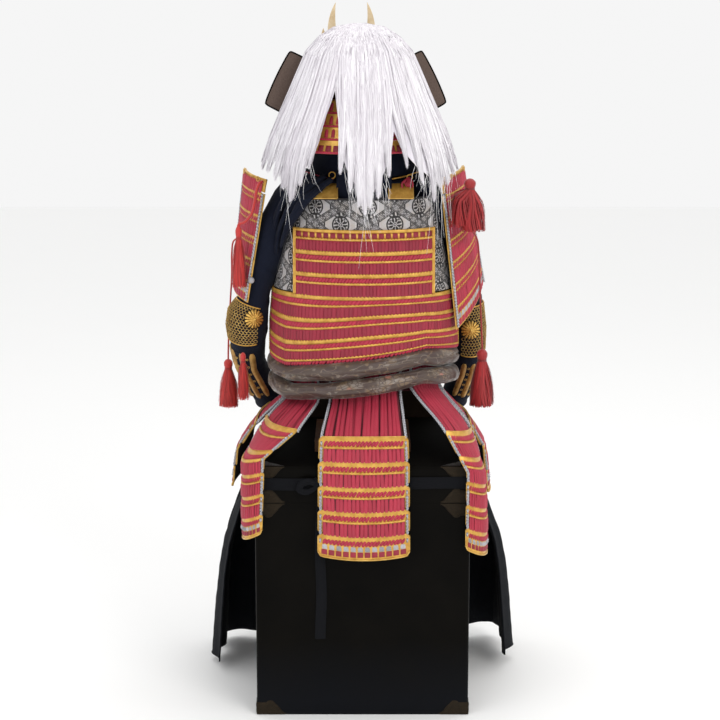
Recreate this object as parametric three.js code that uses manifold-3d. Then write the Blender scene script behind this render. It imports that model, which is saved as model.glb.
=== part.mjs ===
// Samurai armour on its chest stand: a lacquered chest, a wooden stand on the chest's lid,
// and the armour that hangs on the stand. Every soft or laced piece is a thin wall of its
// own form. Millimetres, +Z up. The origin is the middle of the chest's underside. The
// armour faces +Y, its back faces -Y, and +X is the wearer's right.
import * as THREE from "three";
import { mergeVertices } from "three/addons/utils/BufferGeometryUtils.js";
import Module from "manifold-3d";

const wasm = await Module();
wasm.setup();

const { lerp, clamp, smoothstep, degToRad } = THREE.MathUtils;

// ---------------------------------------------------------------- driving dimensions
const SEAM = 0.3;
const CLOTH = 2;
const PLATE = 2.5;

const CHEST = { side: 440, bodyHeight: 456, lidHeight: 77, wall: 12, corner: 7, rim: 10 };
const CHEST_TOP = CHEST.bodyHeight + SEAM + CHEST.lidHeight;

const STAND = {
  base: 200, baseThick: 24, post: 40, yokeWidth: 156, yokeDepth: 34, yokeTop: 1078,
  yokeThick: 26, headHeight: 120, headTop: 1352,
};
// The head block's radius and height, from its underside up.
const HEAD_PROFILE = [
  [0, 0], [46, 0], [62, 22], [62, 62], [50, 96], [28, 114], [0, STAND.headHeight],
];

// The cuirass stands a little off the chest's middle line.
const BODY_X = 3;

// Plan sections of the cuirass: half-width, reach to the back and to the front, and how far
// round from the middle (in degrees) the back and front plates go.
const BODY_SECTIONS = [
  { z: 736, half: 197, back: 146, front: 128, backTurn: 89.7, frontTurn: 89.7 },
  { z: 800, half: 196, back: 146, front: 128, backTurn: 89.7, frontTurn: 89.7 },
  { z: 870, half: 190, back: 142, front: 126, backTurn: 89.7, frontTurn: 89.7 },
  { z: 905, half: 183, back: 136, front: 123, backTurn: 80, frontTurn: 76 },
  { z: 940, half: 178, back: 132, front: 120, backTurn: 72, frontTurn: 64 },
  { z: 975, half: 174, back: 128, front: 116, backTurn: 67, frontTurn: 56 },
  { z: 1020, half: 166, back: 121, front: 110, backTurn: 64, frontTurn: 50 },
  { z: 1064, half: 158, back: 114, front: 104, backTurn: 61, frontTurn: 46 },
];
const WAIST = {
  top: 868, rows: 3, step: 3.5, sideGap: 0.5, hipHalf: 163, hipBack: 124, hipFront: 112,
};
const BACK_TOP = 1064;
const FRONT_TOP = 1012;
const STRAP = { left: -76, right: 78, halfWidth: 25, thick: 3.5 };
// The straps' line over the shoulder, from the top of the back plate to that of the front one.
const STRAP_LINE = [
  { y: -114, z: 1066 },
  { y: -96, z: 1088 },
  { y: -64, z: 1102 },
  { y: -20, z: 1108 },
  { y: 24, z: 1100 },
  { y: 64, z: 1072 },
  { y: 98, z: 1034 },
  { y: 108, z: 1016 },
];
// The collar stands round the neck inside the straps, flares out above them and is open at
// the front. Its two padded wings lie on the straps and reach out over the shoulders.
const COLLAR = {
  turn: 125, thick: 4,
  rings: [
    { z: 1168, half: 112, back: 100, front: 68 },
    { z: 1140, half: 100, back: 92, front: 60 },
    { z: 1124, half: 78, back: 84, front: 54 },
    { z: 1113, half: 50, back: 80, front: 50 },
    { z: 1081, half: 45, back: 84, front: 50 },
  ],
  wing: { inner: 43.5, outer: 148, crest: 1110, lift: 5.3, thick: 3.5, rows: [64, 24, -20, -64, -88] },
};

const LACED_PANEL = { left: -142, right: 142, top: 1000, bottom: 874, step: 2.5, proud: 3, lift: 2 };

// The sash is two padded rolls. It sags at the wearer's left and rides up at the right.
const SASH = { half: 185.5, back: 147, front: 146, thickX: 20, thickZ: 19, upper: 720, lower: 681 };
const SASH_FACETS = { around: 40, across: 10 };
const SASH_KNOT = {
  proud: 24,
  rows: [
    { z: 742, half: 14, deep: 8, out: 0 },
    { z: 730, half: 32, deep: 18, out: 0 },
    { z: 702, half: 38, deep: 22, out: 0 },
    { z: 676, half: 30, deep: 18, out: 13 },
    { z: 650, half: 34, deep: 9, out: 28 },
    { z: 590, half: 44, deep: 7, out: 62 },
    { z: 540, half: 46, deep: 6, out: 90 },
  ],
};
const SASH_SAG = [
  { turn: -180, lift: 0 },
  { turn: -90, lift: -8 },
  { turn: -55, lift: -21 },
  { turn: 0, lift: 0 },
  { turn: 40, lift: 18 },
  { turn: 90, lift: 2 },
  { turn: 180, lift: 0 },
];

// Laced boards lean out by a step at their tops, and a small share of the height parts them.
const BOARD = { step: 3, gap: 0.004 };
// The slack lacing above the first board runs down under the sash, then out to the board.
const LONG_LACING = { drops: [2, 40, 84], lowest: 640, slack: 0.35, overlap: 3 };

// Skirt sections. turn0 and turn1 are where the lacing starts round the hips, in degrees from
// the middle of the back. Each level of the plates is a plan curve from the section's left
// edge, past a corner point, to its right edge, as seen from outside.
const SKIRTS = [
  {
    name: "back_centre", turn0: -27, turn1: 29, plates: 5, hang: 9,
    levels: [
      { z0: 597, z1: 597, x0: -87, y0: -222, xc: 3, yc: -232, x1: 91, y1: -222 },
      { z0: 545, z1: 545, x0: -89, y0: -231, xc: 3, yc: -243, x1: 94, y1: -231 },
      { z0: 350, z1: 350, x0: -91, y0: -243, xc: 3, yc: -256, x1: 96, y1: -243 },
    ],
  },
  {
    name: "back_left", turn0: -78, turn1: -35, plates: 5, hang: 6,
    levels: [
      { z0: 609, z1: 605, x0: -197, y0: -78, xc: -194, yc: -186, x1: -128, y1: -203 },
      { z0: 530, z1: 552, x0: -240, y0: -90, xc: -261, yc: -248, x1: -199, y1: -237 },
      { z0: 364, z1: 396, x0: -244, y0: -92, xc: -260, yc: -245, x1: -205, y1: -238 },
    ],
  },
  {
    name: "back_right", turn0: 36, turn1: 76, plates: 5, hang: 6,
    levels: [
      { z0: 603, z1: 588, x0: 166, y0: -203, xc: 220, yc: -198, x1: 224, y1: -92 },
      { z0: 524, z1: 498, x0: 211, y0: -236, xc: 262, yc: -246, x1: 248, y1: -92 },
      { z0: 362, z1: 332, x0: 210, y0: -239, xc: 268, yc: -250, x1: 256, y1: -92 },
    ],
  },
  {
    name: "side_left", turn0: -124, turn1: -83, plates: 3, hang: 4,
    levels: [
      { z0: 600, z1: 583, x0: -196, y0: 84, xc: -226, yc: 40, x1: -222, y1: -38 },
      { z0: 540, z1: 524, x0: -236, y0: 96, xc: -268, yc: 40, x1: -264, y1: -34 },
      { z0: 446, z1: 438, x0: -256, y0: 106, xc: -284, yc: 46, x1: -278, y1: -30 },
    ],
  },
  {
    name: "side_right", turn0: 83, turn1: 124, plates: 3, hang: 4,
    levels: [
      { z0: 583, z1: 600, x0: 224, y0: -38, xc: 230, yc: 40, x1: 198, y1: 84 },
      { z0: 524, z1: 540, x0: 256, y0: -34, xc: 270, yc: 40, x1: 240, y1: 96 },
      { z0: 424, z1: 436, x0: 268, y0: -30, xc: 288, yc: 46, x1: 258, y1: 106 },
    ],
  },
  {
    name: "front_left", turn0: -177, turn1: -130, plates: 5, hang: 6,
    levels: [
      { z0: 600, z1: 600, x0: -12, y0: 224, xc: -95, yc: 236, x1: -158, y1: 204 },
      { z0: 540, z1: 540, x0: -12, y0: 240, xc: -100, yc: 254, x1: -182, y1: 238 },
      { z0: 356, z1: 356, x0: -12, y0: 262, xc: -104, yc: 276, x1: -196, y1: 262 },
    ],
  },
  {
    name: "front_right", turn0: 130, turn1: 177, plates: 5, hang: 6,
    levels: [
      { z0: 600, z1: 600, x0: 164, y0: 204, xc: 101, yc: 236, x1: 18, y1: 224 },
      { z0: 540, z1: 540, x0: 188, y0: 238, xc: 106, yc: 254, x1: 18, y1: 240 },
      { z0: 356, z1: 356, x0: 202, y0: 262, xc: 110, yc: 276, x1: 18, y1: 262 },
    ],
  },
];

// Sleeves: centre line from the armhole to the open cuff, with the radius across (side) and
// front to back (depth).
const SLEEVES = {
  left: [
    { x: -120, y: -6, z: 1092, side: 34, depth: 44 },
    { x: -148, y: -9, z: 1052, side: 40, depth: 43 },
    { x: -180, y: -12, z: 990, side: 42, depth: 41 },
    { x: -212, y: -10, z: 910, side: 34, depth: 39 },
    { x: -223, y: -7, z: 862, side: 29, depth: 35 },
    { x: -229, y: -6, z: 838, side: 33, depth: 36 },
    { x: -240, y: -4, z: 812, side: 42, depth: 37 },
    { x: -243, y: 0, z: 785, side: 43, depth: 37 },
    { x: -244, y: 14, z: 752, side: 38, depth: 35 },
    { x: -242, y: 50, z: 700, side: 32, depth: 33 },
    { x: -224, y: 92, z: 646, side: 31, depth: 31 },
    { x: -206, y: 124, z: 600, side: 29, depth: 29 },
  ],
  right: [
    { x: 117, y: -4, z: 1092, side: 33, depth: 42 },
    { x: 144, y: -4, z: 1050, side: 34, depth: 40 },
    { x: 170, y: 8, z: 985, side: 33, depth: 39 },
    { x: 208, y: 38, z: 905, side: 22, depth: 34 },
    { x: 226, y: 46, z: 834, side: 29, depth: 35 },
    { x: 230, y: 50, z: 772, side: 32, depth: 37 },
    { x: 230, y: 66, z: 722, side: 32, depth: 35 },
    { x: 226, y: 96, z: 680, side: 31, depth: 33 },
    { x: 214, y: 128, z: 632, side: 31, depth: 31 },
    { x: 202, y: 152, z: 594, side: 29, depth: 29 },
  ],
};
// Heights of the ring mail, the splints and the elbow boss on a sleeve. The boss faces the
// given turn in degrees from straight back.
const ARM_GUARDS = {
  left: {
    mailTop: 834, mailBottom: 762, splintsTop: 742, splintsBottom: 628, bossZ: 806, bossTurn: 18,
  },
  right: {
    mailTop: 824, mailBottom: 726, splintsTop: 708, splintsBottom: 622, bossZ: 773, bossTurn: 0,
  },
  lift: 1, thick: 2.6,
};
const ELBOW_BOSS = {
  gap: 3, profile: [[0, 0], [21, 0], [21, 1.5], [16.8, 5.4], [9.5, 9], [0, 9]],
};

// Shoulder guards: their corners as seen from outside, and how far they bulge.
const SODE = {
  left: {
    frontTop: [-247, 52, 1108], backTop: [-197, -54, 1094],
    frontBottom: [-274, 60, 864], backBottom: [-240, -56, 842],
    rows: 5,
  },
  right: {
    backTop: [161, -54, 1096], frontTop: [211, 44, 1114],
    backBottom: [196, -68, 786], frontBottom: [258, 62, 866],
    rows: 6,
  },
  step: 3, bulge: 12, topBand: 0.1,
};

const HELMET = {
  x: -7, y: -20, turn: 7, rimZ: 1262, height: 128, half: 116, back: 132, front: 128,
  guardRows: 4, guardRise: 2, guardDrop: 104, guardHalf: 158, guardBack: 150, guardFront: 118,
  guardTurn: 112, peakTurn: 56, peakReach: 34, peakDrop: 16, peakRise: 6, peakGap: 3.3,
};
// Corners (x, z) of the turned-back ear at the wearer's right.
const TURNBACK = { thick: 5, y: 56, corners: [[146, 1226], [191, 1250], [138, 1358], [100, 1340]] };
// The crest's right half: curve after curve from its foot, as (x, z) of a corner and an end.
const CREST = {
  thick: 3, ahead: 8, foot: [0, 1284],
  curves: [
    [[56, 1290], [66, 1350]], [[68, 1380], [60, 1401]], [[55, 1388], [50, 1384]],
    [[52, 1424], [34, 1454]], [[38, 1400], [26, 1372]], [[14, 1352], [0, 1350]],
  ],
};
// Hair: how far its outside stands from the helmet's middle at each height.
const HAIR_REACH = [
  { z: 1416, half: 8, back: 10, front: 8 },
  { z: 1408, half: 52, back: 62, front: 44 },
  { z: 1390, half: 82, back: 98, front: 60 },
  { z: 1360, half: 110, back: 132, front: 72 },
  { z: 1310, half: 132, back: 156, front: 80 },
  { z: 1258, half: 154, back: 170, front: 86 },
  { z: 1205, half: 178, back: 178, front: 90 },
  { z: 1155, half: 197, back: 183, front: 92 },
  { z: 1100, half: 212, back: 186, front: 92 },
  { z: 1040, half: 214, back: 187, front: 92 },
];
// The hair's lower edge, by the turn from the middle of the back in degrees.
const HAIR_HEM = [
  { turn: -112, z: 1170 },
  { turn: -98, z: 1126 },
  { turn: -80, z: 1112 },
  { turn: -60, z: 1084 },
  { turn: -44, z: 1086 },
  { turn: -34, z: 1122 },
  { turn: -27, z: 1186 },
  { turn: -21, z: 1284 },
  { turn: -14, z: 1180 },
  { turn: -8, z: 1110 },
  { turn: 0, z: 1048 },
  { turn: 8, z: 1108 },
  { turn: 15, z: 1168 },
  { turn: 21, z: 1208 },
  { turn: 27, z: 1130 },
  { turn: 36, z: 1090 },
  { turn: 60, z: 1088 },
  { turn: 80, z: 1118 },
  { turn: 98, z: 1128 },
  { turn: 112, z: 1170 },
];
const HAIR_THICK = 15;
// Heights down to the lowest that every column of the hair shares.
const HAIR_ROWS = [1416, 1408, 1390, 1360, 1322, 1290];

// Thigh cloth: two flaps sewn to a band that is tied round the chest's lid. Plan curve of a
// flap from the front's middle to its free edge at the side, at the top and at the hem.
const TIE_BAND = { top: 509, bottom: 486, thick: 2.4, gap: 0.6 };
const FLAP = { top: 485.5, frontX: 12, sideReach: 228, frontReach: 229, cornerRound: 16 };
const FLAP_LEVELS = [
  { down: 0.0, front: 0, side: 0, freeY: 24, fold: 0 },
  { down: 0.08, front: 3, side: 10, freeY: 22, fold: 2 },
  { down: 0.23, front: 8, side: 42, freeY: 20, fold: 5 },
  { down: 0.4, front: 14, side: 68, freeY: 24, fold: 7 },
  { down: 0.55, front: 20, side: 80, freeY: 28, fold: 8 },
  { down: 0.78, front: 28, side: 90, freeY: 36, fold: 9 },
  { down: 1.0, front: 36, side: 98, freeY: 44, fold: 10 },
];
const FLAP_SIDES = {
  left: { sign: -1, hem: 18, phase: 0 },
  right: { sign: 1, hem: 34, phase: 0.7 },
};
// Folds along a flap: how fast the broad and the fine ones run, and how soon they start.
const FOLDS = { broad: 23, fine: 37, onset: 6 };
const TAIL = { x: -86, width: 22, top: 482, bottom: 166, y: -222, thick: 1.4 };

const TASSELS = {
  tassel_left_low: { x: -291, y: 78, top: 697, bottom: 590, radius: 21 },
  tassel_left_inner: { x: -252, y: -33, top: 733, bottom: 630, radius: 13 },
  tassel_left_high: { x: -256, y: -58, top: 1004, bottom: 874, radius: 15 },
  tassel_right_low: { x: 253, y: -20, top: 738, bottom: 614, radius: 25 },
  tassel_right_high: { x: 220, y: -76, top: 1104, bottom: 994, radius: 26 },
};
// A tassel's skirt, neck and knot: shares of its radius and of its length, from the bottom up.
const TASSEL_PROFILE = [
  [0, 0], [1, 0], [0.9, 0.36], [0.5, 0.74], [0.34, 0.8], [0.46, 0.88], [0.3, 0.98], [0, 1],
];
// Cords hang from the shoulder guards: points by hand, from the exit down.
const CORDS = {
  cord_left_thick: {
    radius: 3.6,
    points: [[-205, -66, 1096], [-212, -73, 1091], [-217, -75, 1078], [-221, -73, 1056],
      [-228, -70, 1030], [-243, -64, 1012], [-255, -58, 1006]],
  },
  cord_left_thin: {
    radius: 1.9,
    points: [[-267, 62, 962], [-276, 70, 954], [-280, 77, 930], [-281, 78, 880], [-285, 78, 820],
      [-289, 78, 760], [-291, 78, 699]],
  },
  cord_right_thin: {
    radius: 1.9,
    points: [[226, -46, 991.5], [233, -38, 984], [240, -27, 968], [243, -22, 945], [246, -20, 890],
      [249, -20, 820], [253, -20, 740.5]],
  },
};

// ---------------------------------------------------------------- materials
const finish = (color, roughness, metalness = 0) =>
  new THREE.MeshStandardMaterial({ color, roughness, metalness, side: THREE.DoubleSide });
const LACQUER = finish("#14100c", 0.22);
const WOOD = finish("#6d4526", 0.6);
const GILT = finish("#b8862c", 0.4, 0.8);
const BROWN_LACQUER = finish("#33241a", 0.5);
const LACING = finish("#b42846", 0.75);
const BROCADE = finish("#77767a", 0.8);
const SASH_SATIN = finish("#67514c", 0.55);
const NAVY = finish("#0b1226", 0.85);
const MAIL = finish("#8e6a2a", 0.5, 0.7);
const TASSEL_SILK = finish("#b8222a", 0.7);
const HAIR = finish("#dcd8e0", 0.6);

// ---------------------------------------------------------------- geometry helpers
const point = (x, y, z) => new THREE.Vector3(x, y, z);
const steps = (count) => Array.from({ length: count + 1 }, (_, i) => i / count);
const range = (count) => Array.from({ length: count }, (_, i) => i);

// Every column of a table at one place along it, by straight steps between its rows.
function readTable(rows, key, place) {
  const last = rows.length - 1;
  const rising = rows[last][key] > rows[0][key];
  const next = rows.findIndex((row) => (rising ? row[key] >= place : row[key] <= place));
  const i = next < 0 ? last : Math.max(next, 1);
  const [a, b] = [rows[i - 1], rows[i]];
  const t = clamp((place - a[key]) / (b[key] - a[key]), 0, 1);
  const columns = Object.keys(a).filter((name) => typeof a[name] === "number");
  return Object.fromEntries(columns.map((name) => [name, lerp(a[name], b[name], t)]));
}

// A closed mesh from points and the quads or triangles between them.
function solid(points, faces) {
  const geometry = new THREE.BufferGeometry();
  const positions = points.flatMap((p) => [p.x, p.y, p.z]);
  geometry.setAttribute("position", new THREE.Float32BufferAttribute(positions, 3));
  const split = (f) => (f.length === 3 ? f : [f[0], f[1], f[2], f[0], f[2], f[3]]);
  const triangles = faces.flatMap(split);
  geometry.setIndex(triangles);
  geometry.computeVertexNormals();
  return geometry;
}

// Quads over a grid of rows by columns. Rows run down and columns run to the right, as seen
// from the side that the faces look to.
function gridFaces(rows, columns, { closedRows = false, closedColumns = false } = {}) {
  const at = (r, c) => (r % rows) * columns + (c % columns);
  const downs = range(closedRows ? rows : rows - 1);
  const acrosses = range(closedColumns ? columns : columns - 1);
  return downs.flatMap((r) =>
    acrosses.map((c) => [at(r, c), at(r + 1, c), at(r + 1, c + 1), at(r, c + 1)]));
}

function gridNormals(grid, closed) {
  const rows = grid.length;
  const columns = grid[0].length;
  const side = (c) => (closed ? (c + columns) % columns : clamp(c, 0, columns - 1));
  return grid.map((line, r) => line.map((_, c) => {
    const down = grid[Math.min(r + 1, rows - 1)][c].clone().sub(grid[Math.max(r - 1, 0)][c]);
    const across = line[side(c + 1)].clone().sub(line[side(c - 1)]);
    return down.cross(across).normalize();
  }));
}

// A wall of even thickness. Its inner face is lift outside the grid, which by default puts the
// outer face on the grid itself, and proud moves the outer face out.
function wall(grid, thick, { proud = () => 0, closed = false, lift = -thick } = {}) {
  const rows = grid.length;
  const columns = grid[0].length;
  const normals = gridNormals(grid, closed);
  const moved = (distance) => grid.flatMap((line, r) =>
    line.map((p, c) => p.clone().addScaledVector(normals[r][c], distance(r, c))));
  const outer = moved((r, c) => lift + thick + proud(r, c));
  const inner = moved(() => lift);
  const back = outer.length;
  const front = gridFaces(rows, columns, { closedColumns: closed });
  const behind = front.map((f) => f.map((i) => i + back).reverse());
  const rim = (a, b) => [b, a, a + back, b + back];
  const at = (r, c) => r * columns + (c % columns);
  const acrosses = range(closed ? columns : columns - 1);
  const downs = range(rows - 1);
  const topAndBottom = acrosses.flatMap((c) =>
    [rim(at(0, c + 1), at(0, c)), rim(at(rows - 1, c), at(rows - 1, c + 1))]);
  const sides = closed ? [] : downs.flatMap((r) =>
    [rim(at(r, 0), at(r + 1, 0)), rim(at(r + 1, columns - 1), at(r, columns - 1))]);
  return solid([...outer, ...inner], [...front, ...behind, ...topAndBottom, ...sides]);
}

// A filled body through closed rings, from the top ring to the bottom one, with flat ends.
function filled(rings) {
  const columns = rings[0].length;
  const middle = (ring) => ring.reduce((sum, p) => sum.add(p), point(0, 0, 0)).divideScalar(columns);
  const points = [...rings.flat(), middle(rings[0]), middle(rings.at(-1))];
  const [top, bottom] = [points.length - 2, points.length - 1];
  const lastRow = (rings.length - 1) * columns;
  const caps = range(columns).flatMap((c) => {
    const next = (c + 1) % columns;
    return [[top, c, next], [bottom, lastRow + next, lastRow + c]];
  });
  return solid(points, [...gridFaces(rings.length, columns, { closedColumns: true }), ...caps]);
}

function toManifold(geometry) {
  const bare = geometry.clone();
  bare.deleteAttribute("normal");
  bare.deleteAttribute("uv");
  const merged = mergeVertices(bare, 1e-3);
  return new wasm.Manifold(new wasm.Mesh({
    numProp: 3,
    vertProperties: Float32Array.from(merged.attributes.position.array),
    triVerts: Uint32Array.from(merged.index.array),
  }));
}

function fromManifold(manifold) {
  const { vertProperties, triVerts } = manifold.getMesh();
  const geometry = new THREE.BufferGeometry();
  geometry.setAttribute("position", new THREE.Float32BufferAttribute(vertProperties, 3));
  geometry.setIndex(new THREE.Uint32BufferAttribute(triVerts, 1));
  geometry.computeVertexNormals();
  return geometry;
}

const joined = (...parts) =>
  fromManifold(parts.map(toManifold).reduce((sum, part) => sum.add(part)));
const cut = (body, ...tools) =>
  fromManifold(tools.map(toManifold).reduce((rest, tool) => rest.subtract(tool), toManifold(body)));

const box = (sizeX, sizeY, z0, z1, x = 0, y = 0) =>
  new THREE.BoxGeometry(sizeX, sizeY, z1 - z0).translate(x, y, (z0 + z1) / 2);

function roundedBox(sizeX, sizeY, z0, z1, corner) {
  const [a, b] = [sizeX / 2, sizeY / 2];
  const outline = new THREE.Shape();
  const [innerX, innerY] = [a - corner, b - corner];
  outline.moveTo(-innerX, -b);
  outline.lineTo(innerX, -b);
  outline.absarc(innerX, -innerY, corner, -Math.PI / 2, 0);
  outline.lineTo(a, innerY);
  outline.absarc(innerX, innerY, corner, 0, Math.PI / 2);
  outline.lineTo(-innerX, b);
  outline.absarc(-innerX, innerY, corner, Math.PI / 2, Math.PI);
  outline.lineTo(-a, -innerY);
  outline.absarc(-innerX, -innerY, corner, Math.PI, 1.5 * Math.PI);
  const settings = { depth: z1 - z0, bevelEnabled: false, curveSegments: 3 };
  return new THREE.ExtrudeGeometry(outline, settings).translate(0, 0, z0);
}

// A turned body from radius and height pairs, standing on z 0.
function turned(profile, facets) {
  const line = profile.map(([radius, height]) => new THREE.Vector2(radius, height));
  return new THREE.LatheGeometry(line, facets).rotateX(Math.PI / 2);
}

const armour = new THREE.Group();
function add(name, geometry, material, parent = armour) {
  const mesh = new THREE.Mesh(geometry, material);
  mesh.name = name;
  parent.add(mesh);
  return mesh;
}

// A point on an oval round the body: turn 0 is the middle of the back, 90 the wearer's right.
function oval(turn, z, { half, back, front }, out = 0, middleX = BODY_X) {
  const angle = degToRad(turn);
  const depth = Math.cos(angle) > 0 ? back : front;
  return point(middleX + (half + out) * Math.sin(angle), -(depth + out) * Math.cos(angle), z);
}

// How far a bow that is 0 at both ends and 1 in the middle stands out at a place along it.
const bow = (s) => 4 * s * (1 - s);

// A plan curve from p0 past the corner pc to p1.
const curve = (s, p0, pc, p1) => (1 - s) ** 2 * p0 + 2 * s * (1 - s) * pc + s ** 2 * p1;

// ---------------------------------------------------------------- chest and stand
function addChest() {
  const { side, bodyHeight, lidHeight, wall: board, corner, rim } = CHEST;
  const inside = side - 2 * board;
  const bodyTop = bodyHeight;
  const shell = roundedBox(side, side, 0, bodyTop, corner);
  const lip = box(inside, inside, bodyTop - 1, bodyTop + rim);
  const hollow = box(inside - board, inside - board, board, bodyTop + 2 * rim);
  add("chest_body", cut(joined(shell, lip), hollow), LACQUER);

  const lidBottom = bodyTop + SEAM;
  const lid = roundedBox(side, side, lidBottom, CHEST_TOP, corner);
  const lidHollow = box(inside + 2 * SEAM, inside + 2 * SEAM, lidBottom - 1, CHEST_TOP - board);
  add("chest_lid", cut(lid, lidHollow), LACQUER);
}

function addStand() {
  const s = STAND;
  const floor = CHEST_TOP + SEAM;
  const headBottom = s.headTop - s.headHeight;
  const base = box(s.base, s.base, floor, floor + s.baseThick);
  const post = box(s.post, s.post, floor + s.baseThick - 1, headBottom - SEAM);
  const yoke = box(s.yokeWidth, s.yokeDepth, s.yokeTop - s.yokeThick, s.yokeTop);
  add("stand_frame", joined(base, post, yoke), WOOD);

  add("stand_head", turned(HEAD_PROFILE, 16).translate(0, 0, headBottom), WOOD);
}

// ---------------------------------------------------------------- cuirass
const sashLift = (turn) => readTable(SASH_SAG, "turn", turn > 180 ? turn - 360 : turn).lift;
const sashTop = (turn) => SASH.upper + SASH.thickZ + sashLift(turn);

// Heights of laced plates: each plate leans out a little over the one below it.
function plateRows(top, bottom, count) {
  const pitch = (top - bottom) / count;
  return range(count).flatMap((i) =>
    [{ z: top - i * pitch, out: 1 }, { z: top - (i + 1) * pitch + 1, out: 0 }]);
}

function addWaist(name, turn0, turn1) {
  const turns = steps(15).map((s) => lerp(turn0, turn1, s));
  const rows = plateRows(WAIST.top, 0, WAIST.rows).map((row) => ({ ...row, down: 1 - row.z / WAIST.top }));
  const hem = (turn) => sashTop(turn) + 3.5;
  const grid = rows.map((row) => turns.map((turn) => {
    const z = lerp(WAIST.top, hem(turn), row.down);
    return oval(turn, z, readTable(BODY_SECTIONS, "z", z));
  }));
  const lip = turns.map((turn) => oval(turn, hem(turn) + 0.6, {
    half: WAIST.hipHalf, back: WAIST.hipBack, front: WAIST.hipFront,
  }));
  const proud = (r) => (r < rows.length ? rows[r].out * WAIST.step : 0);
  add(name, wall([...grid, lip], PLATE, { proud }), LACING);
}

function addUpperPlate(name, side, top, material) {
  const middle = side === "back" ? 0 : 180;
  const heights = BODY_SECTIONS.map((row) => row.z).filter((z) => z > WAIST.top && z < top);
  const grid = [top, ...heights.reverse(), WAIST.top + SEAM + WAIST.step].map((z) => {
    const section = readTable(BODY_SECTIONS, "z", z);
    const reach = side === "back" ? section.backTurn : section.frontTurn;
    return steps(12).map((s) => oval(middle + lerp(-reach, reach, s), z, section));
  });
  add(name, wall(grid, PLATE), material);
}

function addLacedPanel() {
  const { left, right, top, bottom, step, proud } = LACED_PANEL;
  const rows = plateRows(top, bottom, 3);
  const grid = rows.map(({ z }) => steps(10).map((s) => {
    const section = readTable(BODY_SECTIONS, "z", z);
    const x = lerp(left, right, s);
    const turn = THREE.MathUtils.radToDeg(Math.asin(x / section.half));
    return oval(turn, z, section);
  }));
  const lean = (r) => rows[r].out * step;
  add("back_laced_panel", wall(grid, proud, { proud: lean, lift: LACED_PANEL.lift }), LACING);
}

function addShoulderStrap(name, x) {
  const { halfWidth, thick } = STRAP;
  const grid = STRAP_LINE.map(({ y, z }) =>
    steps(3).map((s) => point(x + lerp(halfWidth, -halfWidth, s), y, z)));
  add(name, wall(grid, thick), GILT);
}

// A collar's wing, from the neck outward. It follows the strap under it at first, and levels
// out beyond it to lie over the top of the sleeve.
function collarWing(side) {
  const { inner, outer, crest, lift, thick, rows } = COLLAR.wing;
  const columns = side < 0 ? steps(6).toReversed() : steps(6);
  const grid = rows.map((y) => columns.map((u) => {
    const z = lerp(readTable(STRAP_LINE, "y", y).z, crest, u ** 2) + lift;
    return point(BODY_X + side * lerp(inner, outer, u), y, z);
  }));
  return wall(grid, thick);
}

function addCollar() {
  const { turn, thick, rings } = COLLAR;
  const grid = rings.map((ring) => steps(14).map((s) => oval(lerp(-turn, turn, s), ring.z, ring)));
  add("collar", joined(wall(grid, thick), collarWing(-1), collarWing(1)), NAVY);
}

// ---------------------------------------------------------------- sash
function addSashRoll(name, middle) {
  const { around, across } = SASH_FACETS;
  const grid = range(around).map((i) => {
    const turn = lerp(-180, 180, i / around);
    return range(across).map((j) => {
      const angle = (j / across) * 2 * Math.PI;
      const z = middle + sashLift(turn) + SASH.thickZ * Math.sin(angle);
      return oval(turn, z, SASH, SASH.thickX * Math.cos(angle));
    });
  });
  const faces = gridFaces(around, across, { closedRows: true, closedColumns: true });
  add(name, solid(grid.flat(), faces), SASH_SATIN);
}

// The knot sits on the front of the rolls, and its ends hang out over the skirt.
function addSashKnot() {
  const angles = range(12).map((i) => (i / 12) * 2 * Math.PI);
  const y = SASH.front + SASH.thickX + SASH_KNOT.proud;
  const rings = SASH_KNOT.rows.map(({ z, half, deep, out }) => angles.map((angle) =>
    point(BODY_X + half * Math.sin(angle), y + out - deep * Math.cos(angle), z)));
  add("sash_knot", filled(rings), SASH_SATIN);
}

// ---------------------------------------------------------------- skirt
function skirtPoint(levels, down, s, hang) {
  const along = down * (levels.length - 1);
  const i = Math.min(Math.floor(along), levels.length - 2);
  const [a, b] = [levels[i], levels[i + 1]];
  const level = Object.fromEntries(Object.keys(a).map((k) => [k, lerp(a[k], b[k], along - i)]));
  const x = curve(s, level.x0, level.xc, level.x1);
  const y = curve(s, level.y0, level.yc, level.y1);
  const z = lerp(level.z0, level.z1, s) - hang * down * bow(s);
  return point(x, y, z);
}

// Where the boards of a section start and end down it, as shares of its height.
const boardRows = (count) => range(count).flatMap((i) =>
  [{ down: i / count, out: 1 }, { down: (i + 1) / count - BOARD.gap, out: 0 }]);

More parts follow.
